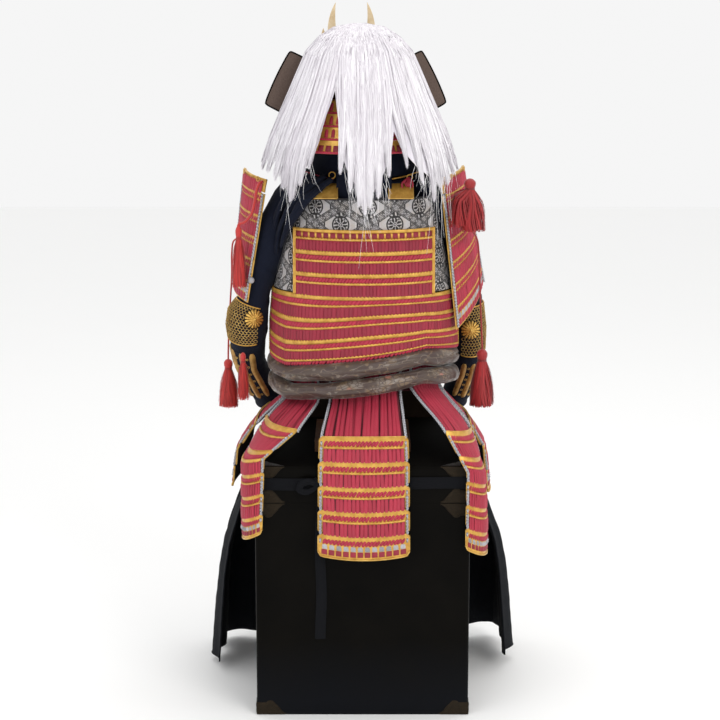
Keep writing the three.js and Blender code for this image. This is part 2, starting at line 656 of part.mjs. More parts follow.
function addSkirt({ name, turn0, turn1, plates, hang, levels }) {
  const across = steps(6);
  // The levels are not evenly high, so heights are turned into places along them.
  const heights = levels.map((level) => (level.z0 + level.z1) / 2);
  const drop = heights[0] - heights.at(-1);
  const place = (down) => {
    const z = heights[0] - down * drop;
    const i = heights.findIndex((h, k) => k > 0 && z >= h - 1e-9);
    return (i - 1 + (heights[i - 1] - z) / (heights[i - 1] - heights[i])) / (levels.length - 1);
  };
  const rows = boardRows(plates);
  const grid = rows.map((row) => across.map((s) => skirtPoint(levels, place(row.down), s, hang)));
  add(`plates_${name}`, wall(grid, PLATE, { proud: (r) => rows[r].out * BOARD.step }), LACING);

  const hip = { half: WAIST.hipHalf, back: WAIST.hipBack, front: WAIST.hipFront };
  const top = across.map((s) => skirtPoint(levels, 0, s, 0));
  const start = (s, drop) => {
    const turn = lerp(turn0, turn1, s);
    return oval(turn, Math.max(sashTop(turn) - drop, LONG_LACING.lowest), hip, -PLATE);
  };
  const lacing = LONG_LACING.drops.map((drop) => across.map((s) => start(s, drop)));
  const spread = steps(4).slice(1).map((t) => across.map((s, i) => {
    const from = start(s, LONG_LACING.drops.at(-1));
    const ease = lerp(t, smoothstep(t, 0, 1), LONG_LACING.slack);
    const x = lerp(from.x, top[i].x, ease);
    const y = lerp(from.y, top[i].y, ease);
    return point(x, y, lerp(from.z, top[i].z + LONG_LACING.overlap, t));
  }));
  add(`lacing_${name}`, wall([...lacing, ...spread], CLOTH), LACING);
}

// ---------------------------------------------------------------- sleeves
// Rings of a sleeve: turn 0 faces straight back, and 90 the wearer's right.
function sleeveRings(rows) {
  const centres = rows.map((row) => point(row.x, row.y, row.z));
  return rows.map((row, i) => {
    const ahead = centres[Math.min(i + 1, rows.length - 1)];
    const behind = centres[Math.max(i - 1, 0)];
    const down = ahead.clone().sub(behind).normalize();
    const backward = point(0, -1, 0).addScaledVector(down, down.y).normalize();
    const sideways = backward.clone().cross(down);
    return (turn) => centres[i].clone()
      .addScaledVector(backward, row.depth * Math.cos(degToRad(turn)))
      .addScaledVector(sideways, row.side * Math.sin(degToRad(turn)));
  });
}

const SLEEVE_STEP = 30;

// The stretch of a sleeve's surface between two heights and two turns.
function sleeveStretch(rows, top, bottom, turn0, turn1) {
  const rings = sleeveRings(rows);
  const between = rows.map((row) => row.z).filter((z) => z < top - 3 && z > bottom + 3);
  const turns = range((turn1 - turn0) / SLEEVE_STEP + 1).map((i) => turn0 + i * SLEEVE_STEP);
  return [top, ...between, bottom].map((z) => {
    const next = Math.max(rows.findIndex((row) => row.z <= z), 1);
    const t = (rows[next - 1].z - z) / (rows[next - 1].z - rows[next].z);
    return turns.map((turn) => rings[next - 1](turn).lerp(rings[next](turn), t));
  });
}

function addArm(side) {
  const rows = SLEEVES[side];
  const guard = ARM_GUARDS[side];
  const { lift, thick } = ARM_GUARDS;
  const [turn0, turn1] = side === "left" ? [-150, 30] : [-30, 150];
  const turns = range(360 / SLEEVE_STEP).map((i) => i * SLEEVE_STEP);
  const tube = sleeveRings(rows).map((ring) => turns.map(ring));
  add(`sleeve_${side}`, wall(tube, CLOTH, { closed: true }), NAVY);

  const mail = sleeveStretch(rows, guard.mailTop, guard.mailBottom, turn0, turn1);
  add(`mail_${side}`, wall(mail, thick, { lift }), MAIL);
  const splints = sleeveStretch(rows, guard.splintsTop, guard.splintsBottom, turn0, turn1);
  add(`splints_${side}`, wall(splints, thick, { lift }), BROWN_LACQUER);

  const place = readTable(rows, "z", guard.bossZ);
  const angle = degToRad(guard.bossTurn);
  const facing = point(Math.sin(angle), -Math.cos(angle), 0);
  const reach = place.depth + lift + thick + ELBOW_BOSS.gap;
  const mesh = add(`elbow_boss_${side}`, turned(ELBOW_BOSS.profile, 16), GILT);
  mesh.position.set(place.x, place.y, guard.bossZ).addScaledVector(facing, reach);
  mesh.quaternion.setFromUnitVectors(point(0, 0, 1), facing);
}

// ---------------------------------------------------------------- shoulder guards
function addSode(side) {
  const corners = SODE[side];
  const { step, bulge, topBand } = SODE;
  const corner = (name) => point(...corners[name]);
  const [leftTop, rightTop, leftBottom, rightBottom] = side === "left"
    ? ["frontTop", "backTop", "frontBottom", "backBottom"].map(corner)
    : ["backTop", "frontTop", "backBottom", "frontBottom"].map(corner);
  const across = rightTop.clone().sub(leftTop);
  const outward = leftBottom.clone().sub(leftTop).cross(across).normalize();
  const at = (down, s) => leftTop.clone().lerp(leftBottom, down)
    .lerp(rightTop.clone().lerp(rightBottom, down), s)
    .addScaledVector(outward, bulge * bow(s));
  const rows = boardRows(corners.rows).map(({ down, out }) => ({ down: lerp(topBand, 1, down), out }));
  const grid = rows.map((row) => steps(5).map((s) => at(row.down, s)));
  add(`sode_${side}`, wall(grid, PLATE, { proud: (r) => rows[r].out * step }), LACING);
  const band = [-0.02, 0.02, topBand - 0.012].map((down) => steps(5).map((s) => at(down, s)));
  add(`sode_top_${side}`, wall(band, PLATE, { lift: -1 }), GILT);
}

// ---------------------------------------------------------------- helmet and hair
const helmet = new THREE.Group();
helmet.position.set(HELMET.x, HELMET.y, 0);
helmet.rotation.z = degToRad(HELMET.turn);
armour.add(helmet);

const helmetOval = (turn, z, ring) => oval(turn, z, ring, 0, 0);

function addHelmet() {
  const { rimZ, height, half, back, front } = HELMET;
  const crown = [7, 22, 38, 54, 70, 90];
  const bowl = crown.map((rise) => {
    const spread = Math.sin(degToRad(rise));
    const ring = { half: half * spread, back: back * spread, front: front * spread };
    const z = rimZ + height * Math.cos(degToRad(rise));
    return range(20).map((i) => helmetOval(i * 18, z, ring));
  });
  add("helmet_bowl", wall(bowl, PLATE, { closed: true }), BROWN_LACQUER, helmet);

  const { guardRows, guardRise, guardDrop, guardHalf, guardBack, guardFront, guardTurn } = HELMET;
  const rows = plateRows(0, -guardDrop, guardRows);
  const guard = rows.map((row) => {
    const t = -row.z / guardDrop;
    const ring = {
      half: lerp(half, guardHalf, t),
      back: lerp(back, guardBack, t),
      front: lerp(front, guardFront, t),
    };
    return steps(16).map((s) =>
      helmetOval(lerp(-guardTurn, guardTurn, s), rimZ + guardRise + row.z, ring));
  });
  const lean = (r) => rows[r].out * BOARD.step;
  add("neck_guard", wall(guard, PLATE, { lift: PLATE, proud: lean }), LACING, helmet);

  const { peakTurn, peakReach, peakDrop, peakRise, peakGap } = HELMET;
  const peak = [1, 0].map((t) => steps(10).map((s) => {
    const turn = lerp(180 - peakTurn, 180 + peakTurn, s);
    const out = peakGap + t * peakReach * Math.sin(Math.PI * s) ** 0.7;
    return helmetOval(turn, rimZ + peakRise - t * peakDrop, { half: half + out, back, front: front + out });
  }));
  add("helmet_peak", wall(peak.reverse(), PLATE), BROWN_LACQUER, helmet);
}

// The turned-back ears of the neck guard stand in front of its ends.
function addTurnbacks() {
  const outline = new THREE.Shape(TURNBACK.corners.map(([x, z]) => new THREE.Vector2(x, z)));
  ["left", "right"].forEach((side) => {
    const ear = new THREE.ExtrudeGeometry(outline, { depth: TURNBACK.thick, bevelEnabled: false });
    ear.rotateX(Math.PI / 2).translate(0, TURNBACK.y, 0);
    add(`turnback_${side}`, side === "left" ? mirrored(ear) : ear, BROWN_LACQUER, helmet);
  });
}

// The same solid on the other side of the middle line.
function mirrored(geometry) {
  const copy = geometry.clone().scale(-1, 1, 1);
  const flat = copy.index ? copy.toNonIndexed() : copy;
  const p = flat.attributes.position;
  for (let i = 0; i < p.count; i += 3) {
    const [x, y, z] = [p.getX(i), p.getY(i), p.getZ(i)];
    p.setXYZ(i, p.getX(i + 1), p.getY(i + 1), p.getZ(i + 1));
    p.setXYZ(i + 1, x, y, z);
  }
  return flat;
}

// The crest: a gilt crescent whose points lean in, with a small leaf point at each side.
function addCrest() {
  const { thick, ahead, foot, curves } = CREST;
  const outline = new THREE.Shape();
  outline.moveTo(...foot);
  curves.forEach(([corner, end]) => outline.quadraticCurveTo(...corner, ...end));
  const starts = [foot, ...curves.map(([, end]) => end)].slice(0, -1);
  curves.map(([corner], i) => [corner, starts[i]]).reverse().forEach(([corner, end]) =>
    outline.quadraticCurveTo(-corner[0], corner[1], -end[0], end[1]));
  const settings = { depth: thick, bevelEnabled: false, curveSegments: 5 };
  const crest = new THREE.ExtrudeGeometry(outline, settings).rotateX(Math.PI / 2);
  add("crest", crest.translate(0, HELMET.front + ahead, 0), GILT, helmet);
}

function addHair() {
  const [first, last] = [HAIR_HEM[0].turn, HAIR_HEM.at(-1).turn];
  const columns = steps(32).map((s) => lerp(first, last, s)).map((turn) => {
    const hem = readTable(HAIR_HEM, "turn", turn).z;
    const low = steps(3).slice(1).map((t) => lerp(HAIR_ROWS.at(-1), hem, t));
    return [...HAIR_ROWS, ...low].map((z) => helmetOval(turn, z, readTable(HAIR_REACH, "z", z)));
  });
  const grid = columns[0].map((_, r) => columns.map((column) => column[r]));
  add("hair", wall(grid, HAIR_THICK), HAIR, helmet);
}

// ---------------------------------------------------------------- thigh cloth and its ties
// Plan of a flap on the wearer's right: s 0 is the front's middle, and 1 the free edge.
function flapPlan(s, { front, side, freeY, fold }, phase) {
  const [x, y, r] = [FLAP.sideReach + side, FLAP.frontReach + front, FLAP.cornerRound + side * 0.5];
  const runs = [x - r - FLAP.frontX, (r * Math.PI) / 2, y - r - freeY];
  const total = runs[0] + runs[1] + runs[2];
  const along = s * total;
  const ripple = Math.sin(s * FOLDS.broad + phase) + 0.5 * Math.sin(s * FOLDS.fine + 1);
  const wave = fold * ripple * Math.min(1, FOLDS.onset * s);
  if (along < runs[0]) return [FLAP.frontX + along, y + wave];
  if (along < runs[0] + runs[1]) {
    const angle = (along - runs[0]) / r;
    return [x - r + (r + wave) * Math.sin(angle), y - r + (r + wave) * Math.cos(angle)];
  }
  return [x + wave, y - r - (along - runs[0] - runs[1])];
}

function addFlap(side) {
  const { sign, hem, phase } = FLAP_SIDES[side];
  const grid = FLAP_LEVELS.map((level) => {
    const z = lerp(FLAP.top, hem, level.down);
    const line = steps(18).map((s) => {
      const [x, y] = flapPlan(s, level, phase);
      return point(sign * x, y, z);
    });
    return sign < 0 ? line : line.reverse();
  });
  add(`thigh_cloth_${side}`, wall(grid, CLOTH), NAVY);
}

function addTies() {
  const { side, corner } = CHEST;
  const { top, bottom, thick, gap } = TIE_BAND;
  const inner = side + 2 * gap;
  const ring = roundedBox(inner + 2 * thick, inner + 2 * thick, bottom, top, corner + gap + thick);
  add("tie_band", cut(ring, roundedBox(inner, inner, bottom - 1, top + 1, corner + gap)), NAVY);
  const edges = [TAIL.x - TAIL.width / 2, TAIL.x + TAIL.width / 2];
  const grid = steps(4).map((s) => edges.map((x) => point(x, TAIL.y, lerp(TAIL.top, TAIL.bottom, s))));
  add("tie_tail", wall(grid, TAIL.thick), NAVY);
}

// ---------------------------------------------------------------- cords and tassels
function addTassel(name, { x, y, top, bottom, radius }) {
  const profile = TASSEL_PROFILE.map(([out, up]) => [out * radius, up * (top - bottom)]);
  add(name, turned(profile, 10), TASSEL_SILK).position.set(x, y, bottom);
}

function addCord(name, { radius, points }) {
  const path = new THREE.CatmullRomCurve3(points.map((p) => point(...p)));
  const section = new THREE.Shape();
  section.absarc(0, 0, radius, 0, 2 * Math.PI);
  const count = Math.round(path.getLength() / (radius * 6));
  const tube = new THREE.ExtrudeGeometry(section, { steps: count, extrudePath: path, curveSegments: 4 });
  add(name, tube, TASSEL_SILK);
}

// ---------------------------------------------------------------- assembly
addChest();
addStand();
addUpperPlate("do_back_upper", "back", BACK_TOP, BROCADE);
addUpperPlate("do_front_upper", "front", FRONT_TOP, LACING);
addWaist("do_waist_back", -90 + WAIST.sideGap, 90 - WAIST.sideGap);
addWaist("do_waist_front", 90 + WAIST.sideGap, 270 - WAIST.sideGap);
addLacedPanel();
addShoulderStrap("shoulder_strap_left", STRAP.left);
addShoulderStrap("shoulder_strap_right", STRAP.right);
addCollar();
addSashRoll("sash_upper", SASH.upper);
addSashRoll("sash_lower", SASH.lower);
addSashKnot();
SKIRTS.forEach(addSkirt);
["left", "right"].forEach((side) => {
  addArm(side);
  addSode(side);
  addFlap(side);
});
addHelmet();
addTurnbacks();
addCrest();
addHair();
addTies();
Object.entries(TASSELS).forEach(([name, tassel]) => addTassel(name, tassel));
Object.entries(CORDS).forEach(([name, cord]) => addCord(name, cord));

export default armour;
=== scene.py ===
"""Samurai armour on its chest stand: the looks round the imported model.

Shapes are worked out in millimetres in the model's own frame (+Z up, the back faces -Y, +X is
the wearer's right) and turned into metres where a mesh is made. Everything rides on "root".
"""

import math

import bmesh
import bpy
import numpy as np
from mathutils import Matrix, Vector


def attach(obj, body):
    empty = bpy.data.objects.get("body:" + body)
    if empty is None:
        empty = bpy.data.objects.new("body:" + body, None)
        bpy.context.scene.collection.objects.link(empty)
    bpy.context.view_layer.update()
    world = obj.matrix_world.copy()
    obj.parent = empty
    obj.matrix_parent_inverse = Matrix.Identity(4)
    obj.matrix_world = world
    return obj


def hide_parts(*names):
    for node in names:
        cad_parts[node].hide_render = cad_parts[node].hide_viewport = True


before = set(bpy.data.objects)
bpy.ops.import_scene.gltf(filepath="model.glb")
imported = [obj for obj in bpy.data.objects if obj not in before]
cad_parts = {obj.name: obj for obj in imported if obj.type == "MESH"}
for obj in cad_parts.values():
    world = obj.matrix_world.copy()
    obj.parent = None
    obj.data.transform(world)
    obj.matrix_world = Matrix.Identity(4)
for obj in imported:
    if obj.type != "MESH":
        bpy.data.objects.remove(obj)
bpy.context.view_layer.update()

MM = 0.001
RIGHT = np.array([1.0, 0.0, 0.0])
BACK = np.array([0.0, -1.0, 0.0])
UP = np.array([0.0, 0.0, 1.0])
rng = np.random.default_rng(11)


def put(name, data):
    """Puts an object into the scene."""
    item = bpy.data.objects.new(name, data)
    bpy.context.scene.collection.objects.link(item)
    return item


# ---------------------------------------------------------------- camera and light
view = put("camera", bpy.data.cameras.new("camera"))
view.data.lens = 93
view.data.sensor_width = 36
view.location = (-0.0052, -3.88, 1.482)
view.rotation_euler = (math.radians(90 - 11.26), 0, 0)
bpy.context.scene.camera = view


def area_light(name, place, aim, size, power, color=(1, 1, 1)):
    lamp = put(name, bpy.data.lights.new(name, "AREA"))
    lamp.data.shape = "RECTANGLE"
    lamp.data.size, lamp.data.size_y = size
    lamp.data.energy = power
    lamp.data.color = color
    lamp.location = place
    away = lamp.location - Vector(aim)
    lamp.rotation_euler = away.to_track_quat("Z", "Y").to_euler()


# ---------------------------------------------------------------- arrays and surfaces
def lerp(a, b, t):
    return a + (b - a) * t


def smooth(t):
    t = np.clip(t, 0, 1)
    return t * t * (3 - 2 * t)


def table(rows, place):
    """Every column of a table, read at places along its first column."""
    rows = np.array(rows, float)
    rows = rows[np.argsort(rows[:, 0])]
    return [np.interp(place, rows[:, 0], rows[:, i]) for i in range(1, rows.shape[1])]


def unit(v):
    return v / np.maximum(np.linalg.norm(v, axis=-1, keepdims=True), 1e-9)


def xyz(*columns):
    """Points, or pattern places, from their three coordinates."""
    return np.stack(np.broadcast_arrays(*columns), axis=-1)


def even(across, down):
    """Even places over a sheet: s to the right and t down, both from 0 to 1."""
    return np.meshgrid(np.linspace(0, 1, across), np.linspace(0, 1, down))


def bearings(count):
    """Even steps round a full turn, in radians."""
    return np.linspace(0, 2 * math.pi, count + 1)[:-1]


def spun(points, angle):
    """Points turned about the upright axis."""
    c, s = math.cos(angle), math.sin(angle)
    x, y = points[..., 0], points[..., 1]
    return xyz(x * c - y * s, x * s + y * c, points[..., 2])


def hoop(centre, across, up, radius, count=21):
    """The points of a closed ring in the plane of two directions."""
    angle = np.linspace(0, 2 * math.pi, count)[:, None]
    return np.asarray(centre) + radius * (np.cos(angle) * across + np.sin(angle) * up)


def ribbons(lines, side, half):
    """Flat threads: lines widened to both sides."""
    return np.stack([lines + side * half, lines - side * half], axis=-2)


def run_of(path):
    """How far along a path each of its points lies."""
    return np.concatenate([[0], np.cumsum(np.linalg.norm(np.diff(path, axis=0), axis=1))])


class Surface:
    """A curved sheet: s runs from 0 to 1 to the right and t from 0 to 1 down, seen from outside."""

    def __init__(self, place):
        self.place = place
        self.width = self.length(np.linspace(0, 1, 41), np.full(41, 0.5))
        self.height = self.length(np.full(41, 0.5), np.linspace(0, 1, 41))

    def length(self, s, t):
        line = self.place(s, t)
        return float(np.linalg.norm(np.diff(line, axis=0), axis=1).sum())

    def across(self, t):
        return self.length(np.linspace(0, 1, 41), np.full(41, t))

    def at(self, s, t, out=0.0):
        s, t = np.broadcast_arrays(np.asarray(s, float), np.asarray(t, float))
        step = 2e-3
        down = self.place(s, t + step) - self.place(s, t - step)
        right = self.place(s + step, t) - self.place(s - step, t)
        return self.place(s, t) + unit(np.cross(down, right)) * np.asarray(out, float)[..., None]


def grid_quads(rows, columns, closed=False):
    """Quads over a grid whose rows run down and columns to the right, facing outward."""
    r = np.arange(rows - 1)[:, None]
    c = np.arange(columns if closed else columns - 1)[None, :]
    right = (c + 1) % columns
    quads = [r * columns + c, (r + 1) * columns + c, (r + 1) * columns + right, r * columns + right]
    return xyz(*quads).reshape(-1, 4)


class Part:
    """Gathers the points and faces of one piece. Its first material is the one not named."""

    def __init__(self, name, *materials):
        self.name = name
        self.materials = materials
        self.points = []
        self.faces = []
        self.slots = []
        self.patterns = []
        self.count = 0

    def add(self, points, faces, material=None, pattern=None):
        points = np.asarray(points, float).reshape(-1, 3)
        if pattern is None:
            pattern = points
        self.points.append(points)
        self.patterns.append(np.asarray(pattern, float).reshape(-1, 3))
        self.faces.append(np.asarray(faces) + self.count)
        self.slots.append(np.full(len(faces), self.materials.index(material) if material else 0))
        self.count += len(points)

    def grids(self, points, material=None, pattern=None, closed=False):
        """Adds many grids at once: points is (..., rows, columns, 3)."""
        rows, columns = points.shape[-3:-1]
        many = points.reshape(-1, rows, columns, 3)
        quads = grid_quads(rows, columns, closed)
        faces = quads[None] + (np.arange(len(many)) * rows * columns)[:, None, None]
        self.add(many, faces.reshape(-1, 4), material, pattern)

    def make(self, stands_for=""):
        """Makes the mesh. It stands for the node of its own name, for another, or for none."""
        node = self.name if stands_for == "" else stands_for
        points = np.concatenate(self.points) * MM
        label = f"{self.name}_dressed" if node else self.name
        mesh = bpy.data.meshes.new(label)
        sizes = np.concatenate([np.full(len(f), f.shape[1]) for f in self.faces])
        loops = np.concatenate([f.reshape(-1) for f in self.faces])
        mesh.vertices.add(len(points))
        mesh.vertices.foreach_set("co", points.reshape(-1))
        mesh.loops.add(len(loops))
        mesh.loops.foreach_set("vertex_index", loops.astype(np.int32))
        mesh.polygons.add(len(sizes))
        mesh.polygons.foreach_set("loop_start", (np.cumsum(sizes) - sizes).astype(np.int32))
        mesh.polygons.foreach_set("loop_total", sizes.astype(np.int32))
        for material in self.materials:
            mesh.materials.append(material)
        mesh.polygons.foreach_set("material_index", np.concatenate(self.slots).astype(np.int32))
        mesh.polygons.foreach_set("use_smooth", np.ones(len(sizes), bool))
        pattern = mesh.attributes.new("pattern", "FLOAT_VECTOR", "POINT")
        pattern.data.foreach_set("vector", np.concatenate(self.patterns).reshape(-1))
        mesh.update(calc_edges=True)
        mesh.validate()
        piece = put(label, mesh)
        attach(piece, "root")
        if node:
            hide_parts(node)
        return piece


def shell(part, points, thick, material=None, lining=None, edging=None, pattern=None):
    """A sheet of even thickness behind a grid of outer points, with its edges closed."""
    down, right = np.gradient(points, axis=0), np.gradient(points, axis=1)
    inner = points - unit(np.cross(down, right)) * thick
    part.grids(points[None], material, pattern)
    part.grids(inner[None, ::-1], lining or material, None if pattern is None else pattern[::-1])
    for rim in (
        (inner[0], points[0]), (points[-1], inner[-1]), (points[:, 0], inner[:, 0]),
        (inner[:, -1], points[:, -1]),
    ):
        part.grids(np.stack(rim)[None], edging or material)


def frames(path):
    """Two directions square to a path, carried along it without twisting."""
    ahead = unit(np.gradient(path, axis=0))
    side = np.zeros_like(path)
    first = BACK if abs(ahead[0][1]) < 0.9 else RIGHT
    side[0] = unit(first - ahead[0] * first.dot(ahead[0]))
    for i in range(1, len(path)):
        rest = side[i - 1] - ahead[i] * side[i - 1].dot(ahead[i])
        side[i] = unit(rest)
    return side, np.cross(ahead, side)


def spokes(path, sides, flat=1.0):
    """Angles round a path, and their directions at each of its points. flat squeezes the round."""
    side, up = frames(path)
    angle = bearings(sides)
    return angle, side[:, None] * np.cos(angle)[:, None] + up[:, None] * np.sin(angle)[:, None] * flat


def wrap(part, path, ring, reach, pattern, material, ends=True):
    """A skin round a path: ring holds the directions round it and reach how far out it lies."""
    points = path[:, None] + ring * reach[..., None]
    if ends:
        tips = path[[0, -1], None] + ring[[0, -1]] * 0.01
        points = np.concatenate([tips[:1], points, tips[1:]])
        pattern = np.concatenate([pattern[:1], pattern, pattern[-1:]])
    part.grids(points[None, :, ::-1], material, pattern[:, ::-1], closed=True)


def tube(part, path, radius, sides=8, material=None, ends=True):
    """A round tube along a path. radius is one number or one for each point."""
    path = np.asarray(path, float)
    angle, ring = spokes(path, sides)
    radius = np.broadcast_to(np.asarray(radius, float), len(path))
    pattern = xyz(angle * radius.mean(), run_of(path)[:, None], 0)
    wrap(part, path, ring, radius[:, None], pattern, material, ends)


def rope(part, path, radius, material=None):
    """A twisted cord: two strands wound round a path."""
    path = resample(path, max(radius * 1.15, 0.9))
    pitch = radius * 5
    side, up = frames(path)
    for strand in (0, 1):
        angle = run_of(path) / pitch * 2 * math.pi + strand * math.pi
        wind = side * np.cos(angle)[:, None] + up * np.sin(angle)[:, None]
        tube(part, path + wind * radius * 0.5, radius * 0.62, 5, material)


def resample(path, step):
    """The same path with points an even step apart."""
    path = np.asarray(path, float)
    along = run_of(path)
    count = max(int(round(along[-1] / step)), 2)
    places = np.linspace(0, along[-1], count + 1)
    return np.stack([np.interp(places, along, path[:, i]) for i in range(3)], axis=1)


def spline(points, per_span=12):
    """A smooth curve through points, even where their spacing isn't (centripetal)."""
    points = np.asarray(points, float)
    ends = [2 * points[0] - points[1], *points, 2 * points[-1] - points[-2]]
    line = []
    for a, b, c, d in zip(ends, ends[1:], ends[2:], ends[3:]):
        k0 = 0.0
        k1 = k0 + np.linalg.norm(b - a) ** 0.5
        k2 = k1 + np.linalg.norm(c - b) ** 0.5
        k3 = k2 + np.linalg.norm(d - c) ** 0.5
        k = np.linspace(k1, k2, per_span, endpoint=False)[:, None]
        ab = a + (b - a) * (k - k0) / (k1 - k0)
        bc = b + (c - b) * (k - k1) / (k2 - k1)
        cd = c + (d - c) * (k - k2) / (k3 - k2)
        abc = ab + (bc - ab) * (k - k0) / (k2 - k0)
        bcd = bc + (cd - bc) * (k - k1) / (k3 - k1)
        line.append(abc + (bcd - abc) * (k - k1) / (k2 - k1))
    return np.concatenate([*line, points[-1:]])


# ---------------------------------------------------------------- materials
class Field:
    """A value in a material's nodes that sums and products can be written with."""

    def __init__(self, shade, socket):
        self.shade, self.socket = shade, socket

    def op(self, kind, *others):
        return self.shade.math(kind, self, *others)

    def __add__(self, other):
        return self.op("ADD", other)

    def __sub__(self, other):
        return self.op("SUBTRACT", other)

    def __rsub__(self, other):
        return self.shade.math("SUBTRACT", other, self)

    def __mul__(self, other):
        return self.op("MULTIPLY", other)

    __radd__, __rmul__ = __add__, __mul__

    def sin(self):
        return self.op("SINE")

    def abs(self):
        return self.op("ABSOLUTE")

    def fract(self):
        return self.op("FRACT")

    def min(self, other):
        return self.op("MINIMUM", other)

    def max(self, other):
        return self.op("MAXIMUM", other)

    def below(self, edge, soft):
        """1 below edge and 0 above it, over a soft step."""
        node = self.shade.node("ShaderNodeMapRange")
        self.shade.link(self, node.inputs["Value"])
        node.inputs["From Min"].default_value = edge - soft
        node.inputs["From Max"].default_value = edge + soft
        node.inputs["To Min"].default_value = 1
        node.inputs["To Max"].default_value = 0
        return Field(self.shade, node.outputs["Result"])

    def above(self, edge, soft):
        return 1 - self.below(edge, soft)


class Shade:
    """A material built in code round one Principled shader."""

    def __init__(self, name):
        self.material = bpy.data.materials.new(name)
        self.material.use_nodes = True
        self.tree = self.material.node_tree
        self.tree.nodes.clear()
        self.shader = self.node("ShaderNodeBsdfPrincipled")
        output = self.node("ShaderNodeOutputMaterial")
        self.tree.links.new(self.shader.outputs["BSDF"], output.inputs["Surface"])

    def node(self, kind, **settings):
        node = self.tree.nodes.new(kind)
        for key, value in settings.items():
            setattr(node, key, value)
        return node

    def link(self, value, socket):
        if isinstance(value, Field):
            self.tree.links.new(value.socket, socket)
        elif isinstance(value, tuple) and len(value) == 3 and socket.type == "RGBA":
            socket.default_value = (*value, 1)
        else:
            socket.default_value = value

    def math(self, kind, *values):
        node = self.node("ShaderNodeMath", operation=kind)
        for value, socket in zip(values, node.inputs):
            self.link(value, socket)
        return Field(self, node.outputs[0])

    def place(self):
        """Where a point is, in metres."""
        return Field(self, self.node("ShaderNodeTexCoord").outputs["Object"])

    def pattern(self):
        """The pattern coordinates that a mesh carries, in millimetres."""
        node = self.node("ShaderNodeAttribute", attribute_name="pattern")
        return Field(self, node.outputs["Vector"])

    def parts(self, vector):
        node = self.node("ShaderNodeSeparateXYZ")
        self.link(vector, node.inputs[0])
        return [Field(self, node.outputs[i]) for i in range(3)]

    def vector(self, *values):
        node = self.node("ShaderNodeCombineXYZ")
        for value, socket in zip(values, node.inputs):
            self.link(value, socket)
        return Field(self, node.outputs[0])

    def noise(self, scale, detail=3, rough=0.55, at=None, warp=0.0):
        node = self.node("ShaderNodeTexNoise")
        self.link(at or self.place(), node.inputs["Vector"])
        node.inputs["Scale"].default_value = scale
        node.inputs["Detail"].default_value = detail
        node.inputs["Roughness"].default_value = rough
        node.inputs["Distortion"].default_value = warp
        return Field(self, node.outputs["Fac"])

    def cells(self, scale, at=None, feature="F1"):
        node = self.node("ShaderNodeTexVoronoi", feature=feature)
        self.link(at or self.place(), node.inputs["Vector"])
        node.inputs["Scale"].default_value = scale
        return Field(self, node.outputs["Distance"])

    def mix(self, amount, a, b):
        node = self.node("ShaderNodeMix", data_type="RGBA")
        self.link(amount, node.inputs[0])
        self.link(a, node.inputs[6])
        self.link(b, node.inputs[7])
        return Field(self, node.outputs[2])

    def finish(self, color, rough, metal=0.0, bump=None, strength=0.3, depth=0.001, **fixed):
        self.link(color, self.shader.inputs["Base Color"])
        self.link(rough, self.shader.inputs["Roughness"])
        self.link(metal, self.shader.inputs["Metallic"])
        if bump is not None:
            node = self.node("ShaderNodeBump")
            node.inputs["Strength"].default_value = strength
            node.inputs["Distance"].default_value = depth
            self.link(bump, node.inputs["Height"])
            self.tree.links.new(node.outputs[0], self.shader.inputs["Normal"])
        for key, value in fixed.items():
            self.link(value, self.shader.inputs[key.replace("_", " ")])
        return self.material


def lacquer(name, dark, light, rough=0.2, gloss=0.16, coat=0.04, painted_floor_reflection=None):
    s = Shade(name)
    broad = s.noise(9, 4)
    fine = s.noise(160, 4)
    color = s.mix((broad * 0.8 + fine * 0.2).above(0.52, 0.2), dark, light)
    if painted_floor_reflection:
        # Low down, the lacquer is mixed towards a pale blue: a painted reflection of the floor.
        _, _, height = s.parts(s.place())
        color = s.mix((height + broad * 0.05).below(0.12, 0.07) * 0.6, color, painted_floor_reflection)
    worn = fine * 0.12 + broad * 0.12 + (rough - 0.1)
    if painted_floor_reflection:
        worn = worn + height.above(0.526, 0.003) * 0.5
    wave = s.noise(14, 2) + s.noise(420, 2) * 0.03
    return s.finish(
        color, worn, bump=wave, strength=0.06, depth=0.004, Specular_IOR_Level=gloss, Coat_Weight=coat,
        Coat_Roughness=0.09,
    )


def metal(name, base, dark, rough=0.36, metallic=0.75):
    s = Shade(name)
    stain = s.noise(70, 5, 0.6)
    grain = s.noise(900, 2)
    color = s.mix(stain.above(0.5, 0.14), base, dark)
    return s.finish(
        color, stain * 0.25 + grain * 0.12 + (rough - 0.18), metallic,
        bump=stain * 0.7 + grain * 0.4, strength=0.25, depth=0.0008,
    )


def engraved(name, base, dark):
    """Chased metal: scrolls and punched ground over the whole plate."""
    s = Shade(name)
    swirl = s.noise(120, 1, 0.4, warp=3.2)
    lines = ((swirl * 34).sin()).abs()
    punch = s.cells(900)
    cut = lines.below(0.35, 0.2)
    color = s.mix(cut * 0.75 + s.noise(60, 3) * 0.3, base, dark)
    return s.finish(
        color, s.noise(240, 3) * 0.3 + 0.28, 0.85, bump=lines + punch * 0.5, strength=0.5, depth=0.0007,
    )


